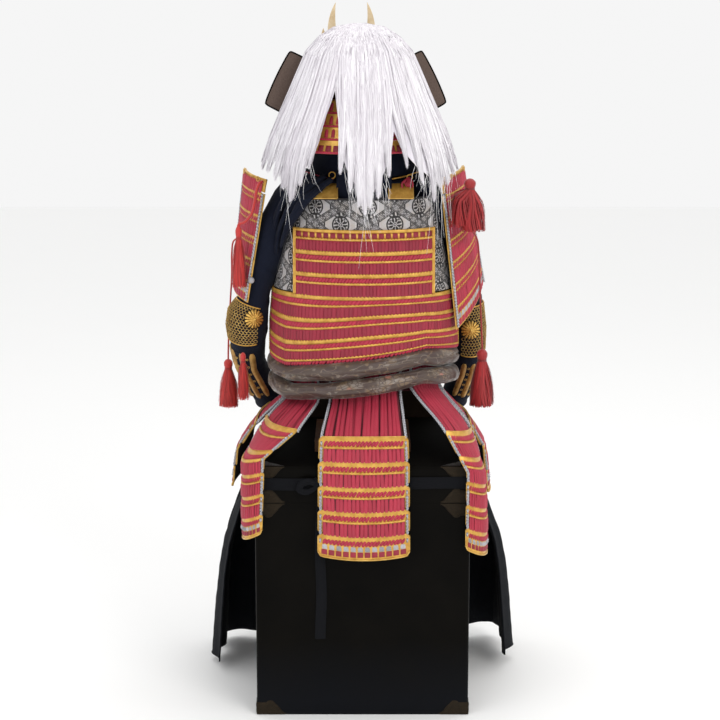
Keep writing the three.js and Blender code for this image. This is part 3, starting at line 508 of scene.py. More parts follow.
def silk(name, base, deep, bright, ribs=2.2, sheen=0.35, fleck=None, vary=0.45):
    """Braided cord. Patterns run across and along it in millimetres; z is the cord's own tone. The crests of
    its chevron ribs are mixed towards the bright colour: a painted highlight.
    """
    s = Shade(name)
    u, v, tone = s.parts(s.pattern())
    chevron = ((v + u.abs() * 0.9) * (2 * math.pi / ribs)).sin()
    fibre = s.noise(700, 2, 0.7)
    shade = tone * vary + s.noise(26, 3) * 0.55 + fibre * 0.3 + (0.075 - vary * 0.5)
    color = s.mix(shade.above(0.5, 0.36), deep, base)
    # Lighter colour on the rib crests: painted highlight.
    color = s.mix((chevron * 0.5 + 0.5) * fibre * 0.45, color, bright)
    if fleck:
        dots = ((v + u * 1.6) * (2 * math.pi / 7.5)).sin().above(0.62, 0.2)
        color = s.mix(dots, color, fleck)
    return s.finish(
        color, fibre * 0.2 + 0.45, bump=chevron + fibre * 0.7, strength=0.45, depth=0.0005,
        Sheen_Weight=sheen, Sheen_Roughness=0.4,
    )


def cloth(name, base, light, thread=1.1, sheen=0.3, rough=0.85, bump=0.5):
    """Plain woven cloth. Patterns are the cloth's own two directions in millimetres."""
    s = Shade(name)
    u, v, _ = s.parts(s.pattern())
    turn = 2 * math.pi / thread
    weave = (u * turn).sin() * (v * turn).sin()
    slub = s.noise(0.35, 4, 0.6, at=s.pattern())
    fuzz = s.noise(900, 3, 0.7)
    color = s.mix((slub * 0.6 + fuzz * 0.4).above(0.53, 0.14) * 0.8 + (weave * 0.1 + 0.1), base, light)
    return s.finish(
        color, rough + fuzz * 0.1 - 0.05, bump=weave * 0.5 + fuzz + slub, strength=bump, depth=0.0007,
        Sheen_Weight=sheen, Sheen_Roughness=0.5, Specular_IOR_Level=0.2,
    )


def timber(name, base, dark):
    s = Shade(name)
    x, y, z = s.parts(s.place())
    along = s.vector(x * 12, y * 12, z * 1.3)
    rings = (s.noise(6, 5, 0.6, at=along, warp=0.6) * 24).sin() * 0.5 + 0.5
    pores = s.noise(40, 2, 0.7, at=along)
    color = s.mix(rings * 0.6 + pores * 0.4, dark, base)
    return s.finish(color, pores * 0.2 + 0.42, bump=rings * 0.4 + pores, strength=0.25, depth=0.0006)


def brocade(name):
    """Silver on black: wheels of eight spokes in a diagonal lattice of linked key-fret bands."""
    wide, high = 112.0, 72.0
    s = Shade(name)
    u, v, _ = s.parts(s.pattern())
    loose = s.noise(0.55, 3, 0.7, at=s.pattern()) - 0.5
    u, v = u + loose * 2.0, v + loose * 2.0

    def wheels(du, dv, size):
        """Wheels on a grid of cells: a double rim, eight spokes and a hub, as a black drawing."""
        x = ((u * (1 / wide) + du).fract() - 0.5) * wide
        y = ((v * (1 / high) + dv).fract() - 0.5) * high
        r = (x * x + y * y).op("SQRT")
        angle = s.math("ARCTAN2", y, x)
        gaps = (angle * 4 + 0.39).sin().abs()
        rim = (r - (size - 1.6)).abs().below(1.5, 0.4)
        beads = (r - (size - 5.2)).abs().below(1.2, 0.4) * (angle * 12).sin().above(-0.2, 0.2)
        sectors = r.below(size - 6.6, 0.4) * r.above(4.6, 0.4) * gaps.above(0.45, 0.1)
        hub = (r - 2.4).abs().below(0.8, 0.3)
        return rim.max(beads).max(sectors).max(hub), r.below(size + 1.2, 0.5)

    def band(sign):
        """One of the two sets of slanting bands, with linked rectangles along it."""
        w = u * (1 / wide) + v * (sign / high)
        across = ((w + 0.5).fract() - 0.5).abs() * (wide * high / math.hypot(wide, high))
        run = (u * (wide / 2) - v * (sign * high / 2)) * (2 / math.hypot(wide, high))
        link = ((run * (1 / 15.5)).fract() - 0.5).abs()
        inside = across.below(8.4, 0.4)
        edge = (across - 7.4).abs().below(1.0, 0.3)
        box = (across - 4.9).abs().below(0.75, 0.25) * link.below(0.36, 0.02)
        box = box.max((link - 0.36).abs().below(0.055, 0.02) * across.below(5.6, 0.3))
        box = box.max((across - 1.7).abs().below(0.6, 0.25) * link.below(0.2, 0.02))
        box = box.max((link - 0.2).abs().below(0.04, 0.02) * across.below(2.2, 0.3))
        box = box.max(link.above(0.44, 0.015) * across.above(1.8, 0.3) * inside)
        return edge.max(box) * inside, inside

    first, in_first = band(1)
    second, in_second = band(-1)
    bands = (first * (1 - in_second)).max(second)
    inside = in_first.max(in_second)
    small_a, over_a = wheels(0.0, 0.5, 18.5)
    small_b, over_b = wheels(0.5, 0.0, 18.5)
    big_a, _ = wheels(0.0, 0.0, 23.0)
    big_b, _ = wheels(0.5, 0.5, 23.0)
    covered = over_a.max(over_b)
    ink = (small_a.max(small_b) * covered).max(bands * (1 - covered))
    ink = ink.max(big_a.max(big_b) * (1 - inside))
    threads = (v * (2 * math.pi / 1.6)).sin() * 0.5 + 0.5
    patch = s.noise(0.05, 4, 0.6, at=s.pattern())
    speckle = s.noise(1.3, 3, 0.8, at=s.pattern())
    ground = s.mix(speckle.above(0.46, 0.12), (0.27, 0.26, 0.27), (0.60, 0.58, 0.59))
    ground = s.mix(patch.above(0.55, 0.12) * 0.45, ground, (0.46, 0.37, 0.27))
    ground = s.mix(threads * 0.18, ground, (0.14, 0.13, 0.13))
    ink = (ink + (speckle - 0.5) * 0.5).above(0.4, 0.14)
    color = s.mix(ink, ground, (0.014, 0.013, 0.013))
    return s.finish(
        color, ink * 0.25 + 0.5, bump=(1 - ink) * 0.8 + threads * 0.3 + speckle * 0.5, strength=0.5,
        depth=0.0008, Sheen_Weight=0.12, Sheen_Roughness=0.4,
    )


def sash_silk(name):
    """Taupe satin figured with silver and pale gold flowers and vines, with painted sheen in streaks along
    it.
    """
    s = Shade(name)
    at = s.pattern()
    u, v, _ = s.parts(at)
    bend = s.noise(0.03, 2, 0.5, at=at) * 60
    vine = ((u * 0.07 + bend * 0.16 + (v * 0.09).sin() * 1.8).sin()).abs().below(0.13, 0.06)
    flower = s.cells(0.017, at=at)
    petals = s.cells(0.11, at=at, feature="DISTANCE_TO_EDGE")
    bloom = flower.below(0.42, 0.05) * petals.above(0.07, 0.04)
    heart = flower.below(0.1, 0.03)
    leaf = s.cells(0.075, at=at).below(0.27, 0.05) * s.noise(0.04, 2, 0.5, at=at).above(0.5, 0.05)
    # Lighter and darker streaks along the satin: painted sheen.
    satin = s.noise(0.9, 3, 0.6, at=s.vector(u * 0.15, v * 1.6, 0.0))
    base = s.mix(satin, (0.030, 0.017, 0.014), (0.088, 0.052, 0.043))
    base = s.mix(s.noise(0.02, 3, at=at).above(0.52, 0.1) * 0.6, base, (0.085, 0.060, 0.040))
    drawn = bloom.max(leaf * 0.8).max(vine * 0.85)
    tint = s.mix(s.noise(0.05, 2, at=at).above(0.5, 0.08), (0.38, 0.33, 0.28), (0.36, 0.24, 0.12))
    # The figures show most on the light streaks of the painted sheen.
    color = s.mix(drawn * (satin * 0.55 + 0.1), base, tint)
    color = s.mix(heart * 0.8, color, (0.40, 0.16, 0.12))
    return s.finish(
        color, drawn * -0.06 + satin * 0.18 + 0.26, bump=drawn * 0.7 + satin * 0.5, strength=0.3,
        depth=0.0008, Sheen_Weight=0.3, Sheen_Roughness=0.35,
    )


def strands(name, base, dark, bright, rough=0.5):
    """Hair: every strand has its own tone in the pattern's z."""
    s = Shade(name)
    _, _, tone = s.parts(s.pattern())
    color = s.mix(tone.above(0.36, 0.34), dark, base)
    color = s.mix(s.noise(14, 3).above(0.54, 0.16) * 0.25, color, dark)
    color = s.mix(tone.above(0.8, 0.1), color, bright)
    return s.finish(color, tone * 0.15 + rough, Sheen_Weight=0.1, Sheen_Roughness=0.5)


def petalled(name, base, dark):
    s = Shade(name)
    wear = s.noise(320, 4, 0.65)
    return s.finish(
        s.mix(wear.above(0.52, 0.12), base, dark), wear * 0.3 + 0.25, 0.8, bump=wear, strength=0.3,
        depth=0.0006,
    )


# The chest's black lacquer, with a painted bluish reflection of the floor along its bottom.
BLACK = lacquer(
    "black_lacquer", (0.0022, 0.0020, 0.0017), (0.0042, 0.0036, 0.0028), rough=0.3, gloss=0.035, coat=0.0,
    painted_floor_reflection=(0.0075, 0.0085, 0.0115),
)
STEEL_BROWN = lacquer("brown_lacquer", (0.030, 0.017, 0.011), (0.062, 0.036, 0.022), rough=0.34)
INNER = lacquer("board_inside", (0.022, 0.014, 0.010), (0.045, 0.028, 0.018), rough=0.45)
BRONZE = engraved("chased_bronze", (0.030, 0.021, 0.012), (0.006, 0.005, 0.004))
GILT = metal("gilt_lacquer", (0.70, 0.41, 0.085), (0.50, 0.26, 0.045), rough=0.42, metallic=0.5)
# A lighter copy of the gilt, for rims, beads and edges, the boss's middle and the crest; along the edges its
# lighter colour is a painted highlight.
GILT_BRIGHT = metal("gilt_edge", (0.76, 0.49, 0.13), (0.55, 0.31, 0.065), rough=0.36, metallic=0.6)
GILT_PALE = metal("crest_tip", (0.72, 0.58, 0.38), (0.60, 0.45, 0.26), rough=0.45, metallic=0.25)
BOSS = petalled("gilt_boss", (0.78, 0.50, 0.13), (0.42, 0.22, 0.05))
SPLINT = metal("splint_gilt", (0.52, 0.31, 0.085), (0.28, 0.145, 0.038), rough=0.5, metallic=0.3)
MAIL = metal("ring_mail_gilt", (0.60, 0.40, 0.12), (0.34, 0.20, 0.055), rough=0.35, metallic=0.55)
RED = silk(
    "red_lacing", (0.48, 0.022, 0.056), (0.29, 0.011, 0.030), (0.58, 0.06, 0.105), sheen=0.02, vary=0.35,
)
# A darker copy of the red lacing, for cords that lie behind others, in the gaps or in the hair's shade:
# painted shade.
RED_IN_SHADE = silk(
    "red_lacing_in_shade", (0.34, 0.014, 0.038), (0.19, 0.007, 0.021), (0.43, 0.035, 0.07), sheen=0.02, vary=0.35,
)
RED_SHADE = silk(
    "red_lacing_under", (0.11, 0.005, 0.014), (0.05, 0.002, 0.006), (0.17, 0.014, 0.03), sheen=0,
)
RED_KNOT = silk(
    "crimson_knots", (0.27, 0.010, 0.026), (0.15, 0.005, 0.014), (0.37, 0.03, 0.055), sheen=0.05,
)
SILVER = silk(
    "silver_braid", (0.72, 0.72, 0.75), (0.46, 0.46, 0.50), (0.92, 0.92, 0.95), sheen=0.1,
    fleck=(0.04, 0.04, 0.055),
)
WHITE_KNOT = silk(
    "silver_knots", (0.52, 0.51, 0.54), (0.20, 0.20, 0.22), (0.78, 0.77, 0.80), ribs=1.6, sheen=0.1, vary=0.7,
)
NAVY = cloth("navy_cloth", (0.0026, 0.0042, 0.0125), (0.0052, 0.0085, 0.0225), sheen=0.02)
NAVY_DARK = cloth(
    "navy_thigh_cloth", (0.0018, 0.0026, 0.0044), (0.0033, 0.0047, 0.0082), sheen=0.02, bump=0.3,
)
NAVY_TIE = cloth("navy_tie", (0.0010, 0.0012, 0.0024), (0.0020, 0.0025, 0.0046), thread=1.4, sheen=0.0)
TASSEL_LEFT = silk(
    "tassel_orange_red", (0.58, 0.026, 0.022), (0.30, 0.010, 0.011), (0.82, 0.09, 0.07), ribs=3, vary=0.9,
)
TASSEL_RIGHT = silk(
    "tassel_dark_red", (0.36, 0.008, 0.011), (0.15, 0.003, 0.005), (0.55, 0.03, 0.03), ribs=3, vary=0.9,
)
BLACK_BRAID = silk(
    "black_braid", (0.012, 0.012, 0.016), (0.004, 0.004, 0.006), (0.05, 0.052, 0.07), sheen=0.2,
)
BROCADE = brocade("silver_brocade")
SASH_SILK = sash_silk("sash_satin")
HAIR = strands("white_hair", (0.90, 0.88, 0.91), (0.60, 0.56, 0.61), (0.97, 0.96, 0.98))
HAIR_BASE = strands("hair_base", (0.84, 0.81, 0.86), (0.66, 0.62, 0.69), (0.93, 0.91, 0.94), rough=0.7)
WOOD = timber("stand_wood", (0.22, 0.10, 0.040), (0.085, 0.036, 0.015))
LEATHER = cloth(
    "brown_leather", (0.085, 0.055, 0.044), (0.135, 0.098, 0.080), thread=3, sheen=0.03, rough=0.6,
)


# ---------------------------------------------------------------- lacing
# A cord's places across itself and how high each stands, from its flat to its crown.
ROUND = np.array([-1, -0.5, 0.5, 1.0])
ROUND_RISE = np.sqrt(1 - ROUND**2)
# Down a cord, from where it leaves its hole: the share of its length, its width and its height.
ARCH = np.array([(0, 0.28, 0.1), (0.07, 0.8, 0.78), (0.3, 1, 1.05), (1, 1, 0.9)])


def each(values):
    """One value for each cord or stitch, ready to spread over its own small grid."""
    return np.asarray(values)[:, None, None]


def evenly(s0, s1, count):
    """The middles of equal shares of the way from s0 to s1, and the size of a share."""
    step = (s1 - s0) / count
    return s0 + (np.arange(count) + 0.5) * step, step


def tones(count, like):
    """A tone of its own for each cord or stitch, all over its grid."""
    return np.broadcast_to(each(rng.random(count)), like.shape)


def underlay(part, sheet, t0, t1, material, out, s0=0.0, s1=1.0, columns=25):
    """The shaded cords behind a row of lacing, so that no plate shows through its gaps."""
    s, t = np.meshgrid(np.linspace(s0, s1, columns), np.linspace(t0, t1, 4))
    part.grids(sheet.at(s, t, out)[None], material)


def pulls(part, sheet, t0, t1, material, pitch=7.8, s0=0.0, s1=1.0, out=1.0, bulge=1.5, gap=0.03,
          uneven=0.05, lean=0.0, belly=0.5, rows=None, out_end=None):
    """A row of upright silk cords side by side, each arched where it leaves its hole."""
    width = sheet.across((t0 + t1) / 2) * (s1 - s0)
    count = max(int(round(width / pitch)), 2)
    middle, step = evenly(s0, s1, count)
    shift = rng.normal(0, uneven, (2, count)) * step
    steps = np.array([(w, 1, 1) for w in np.linspace(0, 1, rows)]) if rows else ARCH
    w, wide, high = [column[None, :, None] for column in steps.T]
    drift = lerp(each(shift[0]), each(shift[1]), w) + lean * step * w
    half = each(step * 0.5 * (1 - gap + rng.normal(0, uneven * 0.3, count)))
    s = np.clip(each(middle) + drift + half * wide * ROUND, s0, s1)
    t = lerp(t0, t1, w)
    out_end = out if out_end is None else out_end
    height = each(bulge * (1 + rng.normal(0, 0.14, count)))
    lift = lerp(out, out_end, w) + height * high * ROUND_RISE + belly * np.sin(math.pi * w)
    pattern = xyz(ROUND * half / step * pitch, t * sheet.height, tones(count, s))
    part.grids(sheet.at(s, t, lift), material, pattern)


def twists(part, sheet, t, material, pitch=7.4, size=(6.0, 3.1), tilt=-54, s0=0.0, s1=1.0, out=1.0,
           rise=2.4, uneven=0.05):
    """A row of slanted silk stitches, like a rope laid along the plate's edge."""
    width = sheet.across(t) * (s1 - s0)
    count = max(int(round(width / pitch)), 2)
    place = s0 + (np.arange(count) + 0.5 + rng.normal(0, uneven, count)) / count * (s1 - s0)
    angle = each(np.radians(tilt + rng.normal(0, 4, count)))
    u = np.array([-1, -0.65, 0, 0.65, 1.0])[None, :, None]
    v = np.array([-1, -0.45, 0.45, 1.0])[None, None, :]
    body = np.sqrt(np.maximum(1 - u**2, 0.02))
    long_way, cross_way = u * size[0], v * size[1] * (0.55 + 0.45 * body)
    x = long_way * np.cos(angle) - cross_way * np.sin(angle)
    y = long_way * np.sin(angle) + cross_way * np.cos(angle)
    s = np.clip(each(place) + x / width * (s1 - s0), s0, s1)
    lift = out + rise * body * np.sqrt(1 - v**2) * each(1 + rng.normal(0, 0.1, count))
    pattern = xyz(cross_way, long_way, tones(count, s))
    part.grids(sheet.at(s, t + y / sheet.height, lift), material, pattern)


def edge_line(part, sheet, t0, t1, material, pitch=6.8, tooth=0.0, out=1.6, s0=0.0, s1=1.0, base=0.4):
    """A gilt edge between the rows of lacing. tooth is how high its row of small nubs stands, in mm."""
    width = sheet.across(t0) * (s1 - s0)
    count = max(int(round(width / pitch)), 2) if tooth else 8
    columns = count * 4 + 1
    phase = np.linspace(0, count, columns) % 1.0
    scallop = np.abs(2 * phase - 1) ** 1.6
    bead = (0.7 if tooth else 0.0) * (1 - scallop)
    s = np.linspace(s0, s1, columns)
    top = t0 + scallop * tooth / sheet.height
    down, height, beaded = np.array([
        (0, base, 0), (0, out, 1), (0.35, out + 0.5, 1), (1, out, 0.3), (1, base, 0),
    ]).T[..., None]
    part.grids(sheet.at(s, top + (t1 - top) * down, height + bead * beaded)[None], material)


def squares(part, sheet, t0, t1, material, pitch=15.0, fill=0.74, s0=0.0, s1=1.0, out=1.0, rise=1.6,
            cross=False):
    """A row of square knots, or of round crossed knots."""
    width = sheet.across(t0) * (s1 - s0)
    count = max(int(round(width / pitch)), 2)
    middle, step = evenly(s0, s1, count)
    u = np.array([-1, -0.7, 0, 0.7, 1.0])
    uu, vv = np.meshgrid(u, u)
    pillow = (1 - np.abs(uu) ** 5) * (1 - np.abs(vv) ** 5)
    if cross:
        radius = np.sqrt(uu**2 + vv**2)
        arms = np.exp(-((np.abs(uu) - np.abs(vv)) ** 2) * 7)
        pillow = np.maximum(1 - radius**2, 0) ** 0.5 * (0.55 + 0.45 * arms)
        uu = np.sign(uu) * np.abs(uu) ** 0.9
    s = each(middle) + uu * step * fill / 2
    t = (t0 + t1) / 2 + vv * (t1 - t0) / 2
    part.grids(sheet.at(s, t, out + rise * pillow), material, xyz(uu, vv * 6, tones(count, s)))


def laced_unit(part, sheet, t0, t1, **span):
    """One plate of the rows: toothed gilt band, twisted row, thin gilt line, then upright cords."""
    at = lambda share: lerp(t0, t1, share)
    tall = (t1 - t0) * sheet.height
    edge_line(part, sheet, at(-0.045), at(0.16), GILT, tooth=tall * 0.055, out=3.4, **span)
    twists(part, sheet, at(0.275), RED, size=(tall * 0.14, 3.1), out=1.2, **span)
    edge_line(part, sheet, at(0.375), at(0.485), GILT, tooth=tall * 0.03, out=2.2, **span)
    # The upright cords are the darker red copy: painted shade.
    pulls(part, sheet, at(0.445), at(1.0), RED_IN_SHADE, out=0.9, out_end=1.4, **span)


# ---------------------------------------------------------------- cuirass
BODY_X = 3
# The body's plan at each height: its half width, and its depth at the back and in front.
BODY = [
    (736, 197, 146, 128), (800, 196, 146, 128), (870, 190, 142, 126), (905, 183, 136, 123),
    (940, 178, 132, 120), (975, 174, 128, 116), (1020, 166, 121, 110), (1064, 158, 114, 104),
]
# How far the upper cuirass reaches round at each height, at the back and in front.
BODY_TURNS = [
    (870, 89.7, 89.7), (905, 80, 76), (940, 72, 64), (975, 67, 56), (1020, 64, 50), (1064, 61, 46),
]
WAIST_TOP = 868
# The sash's two rolls: the plan of their middles, their own radii, and how high they lie.
SASH = {"half": 185.5, "back": 147, "front": 146, "x": 20, "z": 19, "upper": 720, "lower": 681}
# How far the sash is lifted at each turn round the hips.
SASH_SAG = [(-180, 0), (-90, -8), (-55, -21), (0, 0), (40, 18), (90, 2), (180, 0)]


def oval(turn, z, half, back, front, out=0.0, middle=BODY_X):
    """Round the body: turn 0 is the middle of the back and 90 the wearer's right."""
    angle = np.radians(turn)
    depth = np.where(np.cos(angle) > 0, back, front)
    x = middle + (half + out) * np.sin(angle)
    y = -(depth + out) * np.cos(angle)
    return xyz(x, y, z)


def body(turn, z):
    return oval(turn, z, *table(BODY, z))


def sash_lift(turn):
    wrapped = (np.asarray(turn, float) + 180) % 360 - 180
    return table(SASH_SAG, wrapped)[0]


def waist_hem(turn):
    """The cuirass's lower edge rests on the upper roll of the sash."""
    clearance = 3.5
    return SASH["upper"] + SASH["z"] + sash_lift(turn) + clearance


def waist_sheet(turn0, turn1):
    def place(s, t):
        turn = lerp(turn0, turn1, s)
        slack = 2.6 * np.sin(turn * 0.071 + 0.4 + t * 1.5) * np.sin(math.pi * np.clip(t, 0, 1))
        return body(turn, lerp(WAIST_TOP, waist_hem(turn), t) + slack)

    return Surface(place)


def make_waist(name, turn0, turn1):
    sheet = waist_sheet(turn0, turn1)
    part = Part(name, RED, RED_IN_SHADE, GILT, INNER)
    s, t = even(61, 19)
    lean = 3.0 * (1 - (t * 3) % 1.0) * (t < 0.999)
    skin = sheet.at(s, t, lean * 0.6)
    # The sheet under the cords is the darker red copy: painted shade in the gaps.
    shell(part, skin, 2.4, RED_IN_SHADE, INNER, GILT)
    for i in range(3):
        laced_unit(part, sheet, i / 3, (i + 1) / 3, s0=0.004, s1=0.996)
    edge_line(part, sheet, 0.95, 0.985, GILT, tooth=2.2, out=3.6, s0=0.004, s1=0.996)
    twists(part, sheet, 1.012, RED, size=(4.6, 3.0), out=1.2, s0=0.004, s1=0.996)
    for s_edge in (0.003, 0.997):
        run = np.linspace(0, 1, 40)
        rope(part, sheet.at(s_edge, run, 2.6), 1.9, GILT)
    part.make()


make_waist("do_waist_back", -89.5, 89.5)
make_waist("do_waist_front", 90.5, 269.5)


def upper_sheet(middle, top, table_column):
    def place(s, t):
        z = lerp(top, WAIST_TOP + 3.8, t)
        reach = table(BODY_TURNS, z)[table_column]
        return body(middle + lerp(-1.0, 1.0, s) * reach, z)

    return Surface(place)


def make_back():
    sheet = upper_sheet(0, 1064, 0)
    part = Part("do_back_upper", BROCADE, INNER, BLACK_BRAID)
    s, t = even(61, 41)
    skin = sheet.at(s, t)
    steps = np.linalg.norm(np.diff(skin, axis=1), axis=-1)
    run = np.concatenate([np.zeros((len(s), 1)), np.cumsum(steps, axis=1)], axis=1)
    pattern = xyz(run - run[:, 30:31] - 8, t * 196 + 20, 0)
    shell(part, skin, 2.4, BROCADE, INNER, BLACK_BRAID, pattern)
    down = np.linspace(0, 0.99, 30)
    rim = np.concatenate([
        sheet.at(0.0, down[::-1], 0.4), sheet.at(np.linspace(0.02, 0.98, 60), 0.0, 0.4),
        sheet.at(1.0, down, 0.4),
    ])
    tube(part, rim, 2.3, 8, BLACK_BRAID)
    part.make()


make_back()

PANEL = {"left": -142, "right": 142, "top": 1003, "bottom": 869}


def panel_place(s, t):
    z = lerp(PANEL["top"], PANEL["bottom"], t)
    half, back, front = table(BODY, z)
    x = lerp(PANEL["left"], PANEL["right"], s)
    turn = np.degrees(np.arcsin(np.clip(x / half, -1, 1)))
    return oval(turn, z, half, back, front, 2.2)


def make_panel():
    sheet = Surface(panel_place)
    part = Part("back_laced_panel", RED, RED_IN_SHADE, GILT, INNER, RED_KNOT)
    s, t = even(51, 21)
    # The sheet under the cords is the darker red copy: painted shade in the gaps.
    shell(part, sheet.at(s, t, 0.6), 1.8, RED_IN_SHADE, INNER, GILT)
    z = lambda height: (PANEL["top"] - height) / (PANEL["top"] - PANEL["bottom"])
    span = {"s0": 0.012, "s1": 0.988}
    edge_line(part, sheet, z(1003), z(996.5), GILT, out=3.0, s0=0, s1=1)
    edge_line(part, sheet, z(997), z(984), GILT, out=1.2, s0=0, s1=1)
    squares(part, sheet, z(996.5), z(985), RED_KNOT, pitch=15.7, fill=0.8, out=1.0, rise=2.4, **span)
    edge_line(part, sheet, z(985.5), z(980.5), GILT, tooth=2.0, out=2.6, **span)
    # These cords are the darker red copy: painted shade.
    pulls(part, sheet, z(981.5), z(958), RED_IN_SHADE, out=0.8, out_end=1.6, **span)
    laced_unit(part, sheet, z(958), z(913), **span)
    laced_unit(part, sheet, z(913), z(868.5), **span)
    for edge, sign in ((0.0, 1), (1.0, -1)):
        run = np.linspace(0, 1, 50)
        for inset, radius in ((0.004, 2.2), (0.013, 1.7)):
            tube(part, sheet.at(edge + sign * inset, run, 2.6), radius, 8, GILT)
    part.make()


make_panel()


def make_front():
    """The front of the cuirass, laced all over; only the turns beyond the collar see it."""
    sheet = upper_sheet(180, 1012, 1)
    part = Part("do_front_upper", RED, RED_IN_SHADE, GILT, INNER)
    s, t = even(41, 21)
    shell(part, sheet.at(s, t, 0.4), 2.4, RED_IN_SHADE, INNER, GILT)
    for i in range(3):
        laced_unit(part, sheet, (i + 0.12) / 3.12, (i + 1.12) / 3.12, s0=0.03, s1=0.97)
    edge_line(part, sheet, 0.0, 0.04, GILT, out=2.4, s0=0.01, s1=0.99, pitch=14)
    for edge in (0.012, 0.988):
        run = np.linspace(0, 1, 50)
        tube(part, sheet.at(edge, run, 1.6), 2.6, 8, GILT)
    part.make()


make_front()


def bunched_cloth(part):
    """Sleeve cloth bunched at the wearer's left, from under the strap down past the armhole."""
    random = np.random.default_rng(23)
    puffs = [
        [(-62, -106, 1108), (-84, -110, 1090), (-112, -106, 1066), (-136, -94, 1036), (-156, -78, 1000),
         (-170, -62, 958)],
        [(-74, -102, 1112), (-102, -102, 1094), (-130, -92, 1066), (-153, -76, 1034), (-171, -60, 990),
         (-180, -50, 942)],
        [(-96, -94, 1114), (-128, -84, 1096), (-155, -70, 1064), (-173, -56, 1028), (-182, -48, 988)],
    ]
    for k, line in enumerate(puffs):
        path = spline(line, 10)
        path = np.pad(path + random.normal(0, 0.8, path.shape), ((2, 2), (0, 0)), "edge")
        path = np.mean([path[i : len(path) - 4 + i] for i in range(5)], axis=0)
        along = np.linspace(0, 1, len(path))[:, None]
        angle, ring = spokes(path, 24, flat=0.7)
        reach = 13.5 * np.sin(math.pi * np.clip(along * 0.86 + 0.1, 0, 1)) ** 0.6
        folds = 0.16 * np.sin(angle * 3 + along * 9 + k) + 0.1 * np.sin(angle * 7 - along * 15 + k)
        wrap(part, path, ring, reach * (1 + folds), xyz(angle * 13, along * 150, 0), NAVY, ends=False)


# A strap's line over the shoulder, as places towards the front and heights.
STRAP_LINE = [
    (-114, 1066), (-96, 1088), (-64, 1102), (-20, 1108), (24, 1100), (64, 1072), (98, 1034), (108, 1016),
]


def make_strap(name, x):
    """A shoulder strap: a gilt end plate at the back, then padded cloth over the shoulder."""
    path = spline(STRAP_LINE, 8)
    part = Part(name, GILT, NAVY, INNER, GILT_BRIGHT)

    def grid(rows, half, out, thick, material, rim):
        u = np.linspace(-1, 1, 13)
        ahead = unit(np.gradient(rows, axis=0))
        crown = out + thick * (1 - np.abs(u) ** 4)
        y = rows[:, [0]] - ahead[:, [1]] * crown
        z = rows[:, [1]] + ahead[:, [0]] * crown
        columns = x - u * half
        points = xyz(columns, y, z)
        run = np.arange(len(rows))[:, None] * 4.0
        shell(part, points, 2.2 + out, material, INNER, rim, xyz(columns, run, 0))
        return points

    grid(path[12:], 23, 0.0, 2.0, NAVY, NAVY)
    plate = grid(path[:15], 25, 1.0, 0.6, GILT, GILT_BRIGHT)
    for line in (plate[:, 0], plate[:, -1], plate[0], plate[-1]):
        tube(part, line, 1.3, 6, GILT_BRIGHT)
    if x < 0:
        bunched_cloth(part)
    part.make()


make_strap("shoulder_strap_left", -76)
make_strap("shoulder_strap_right", 78)


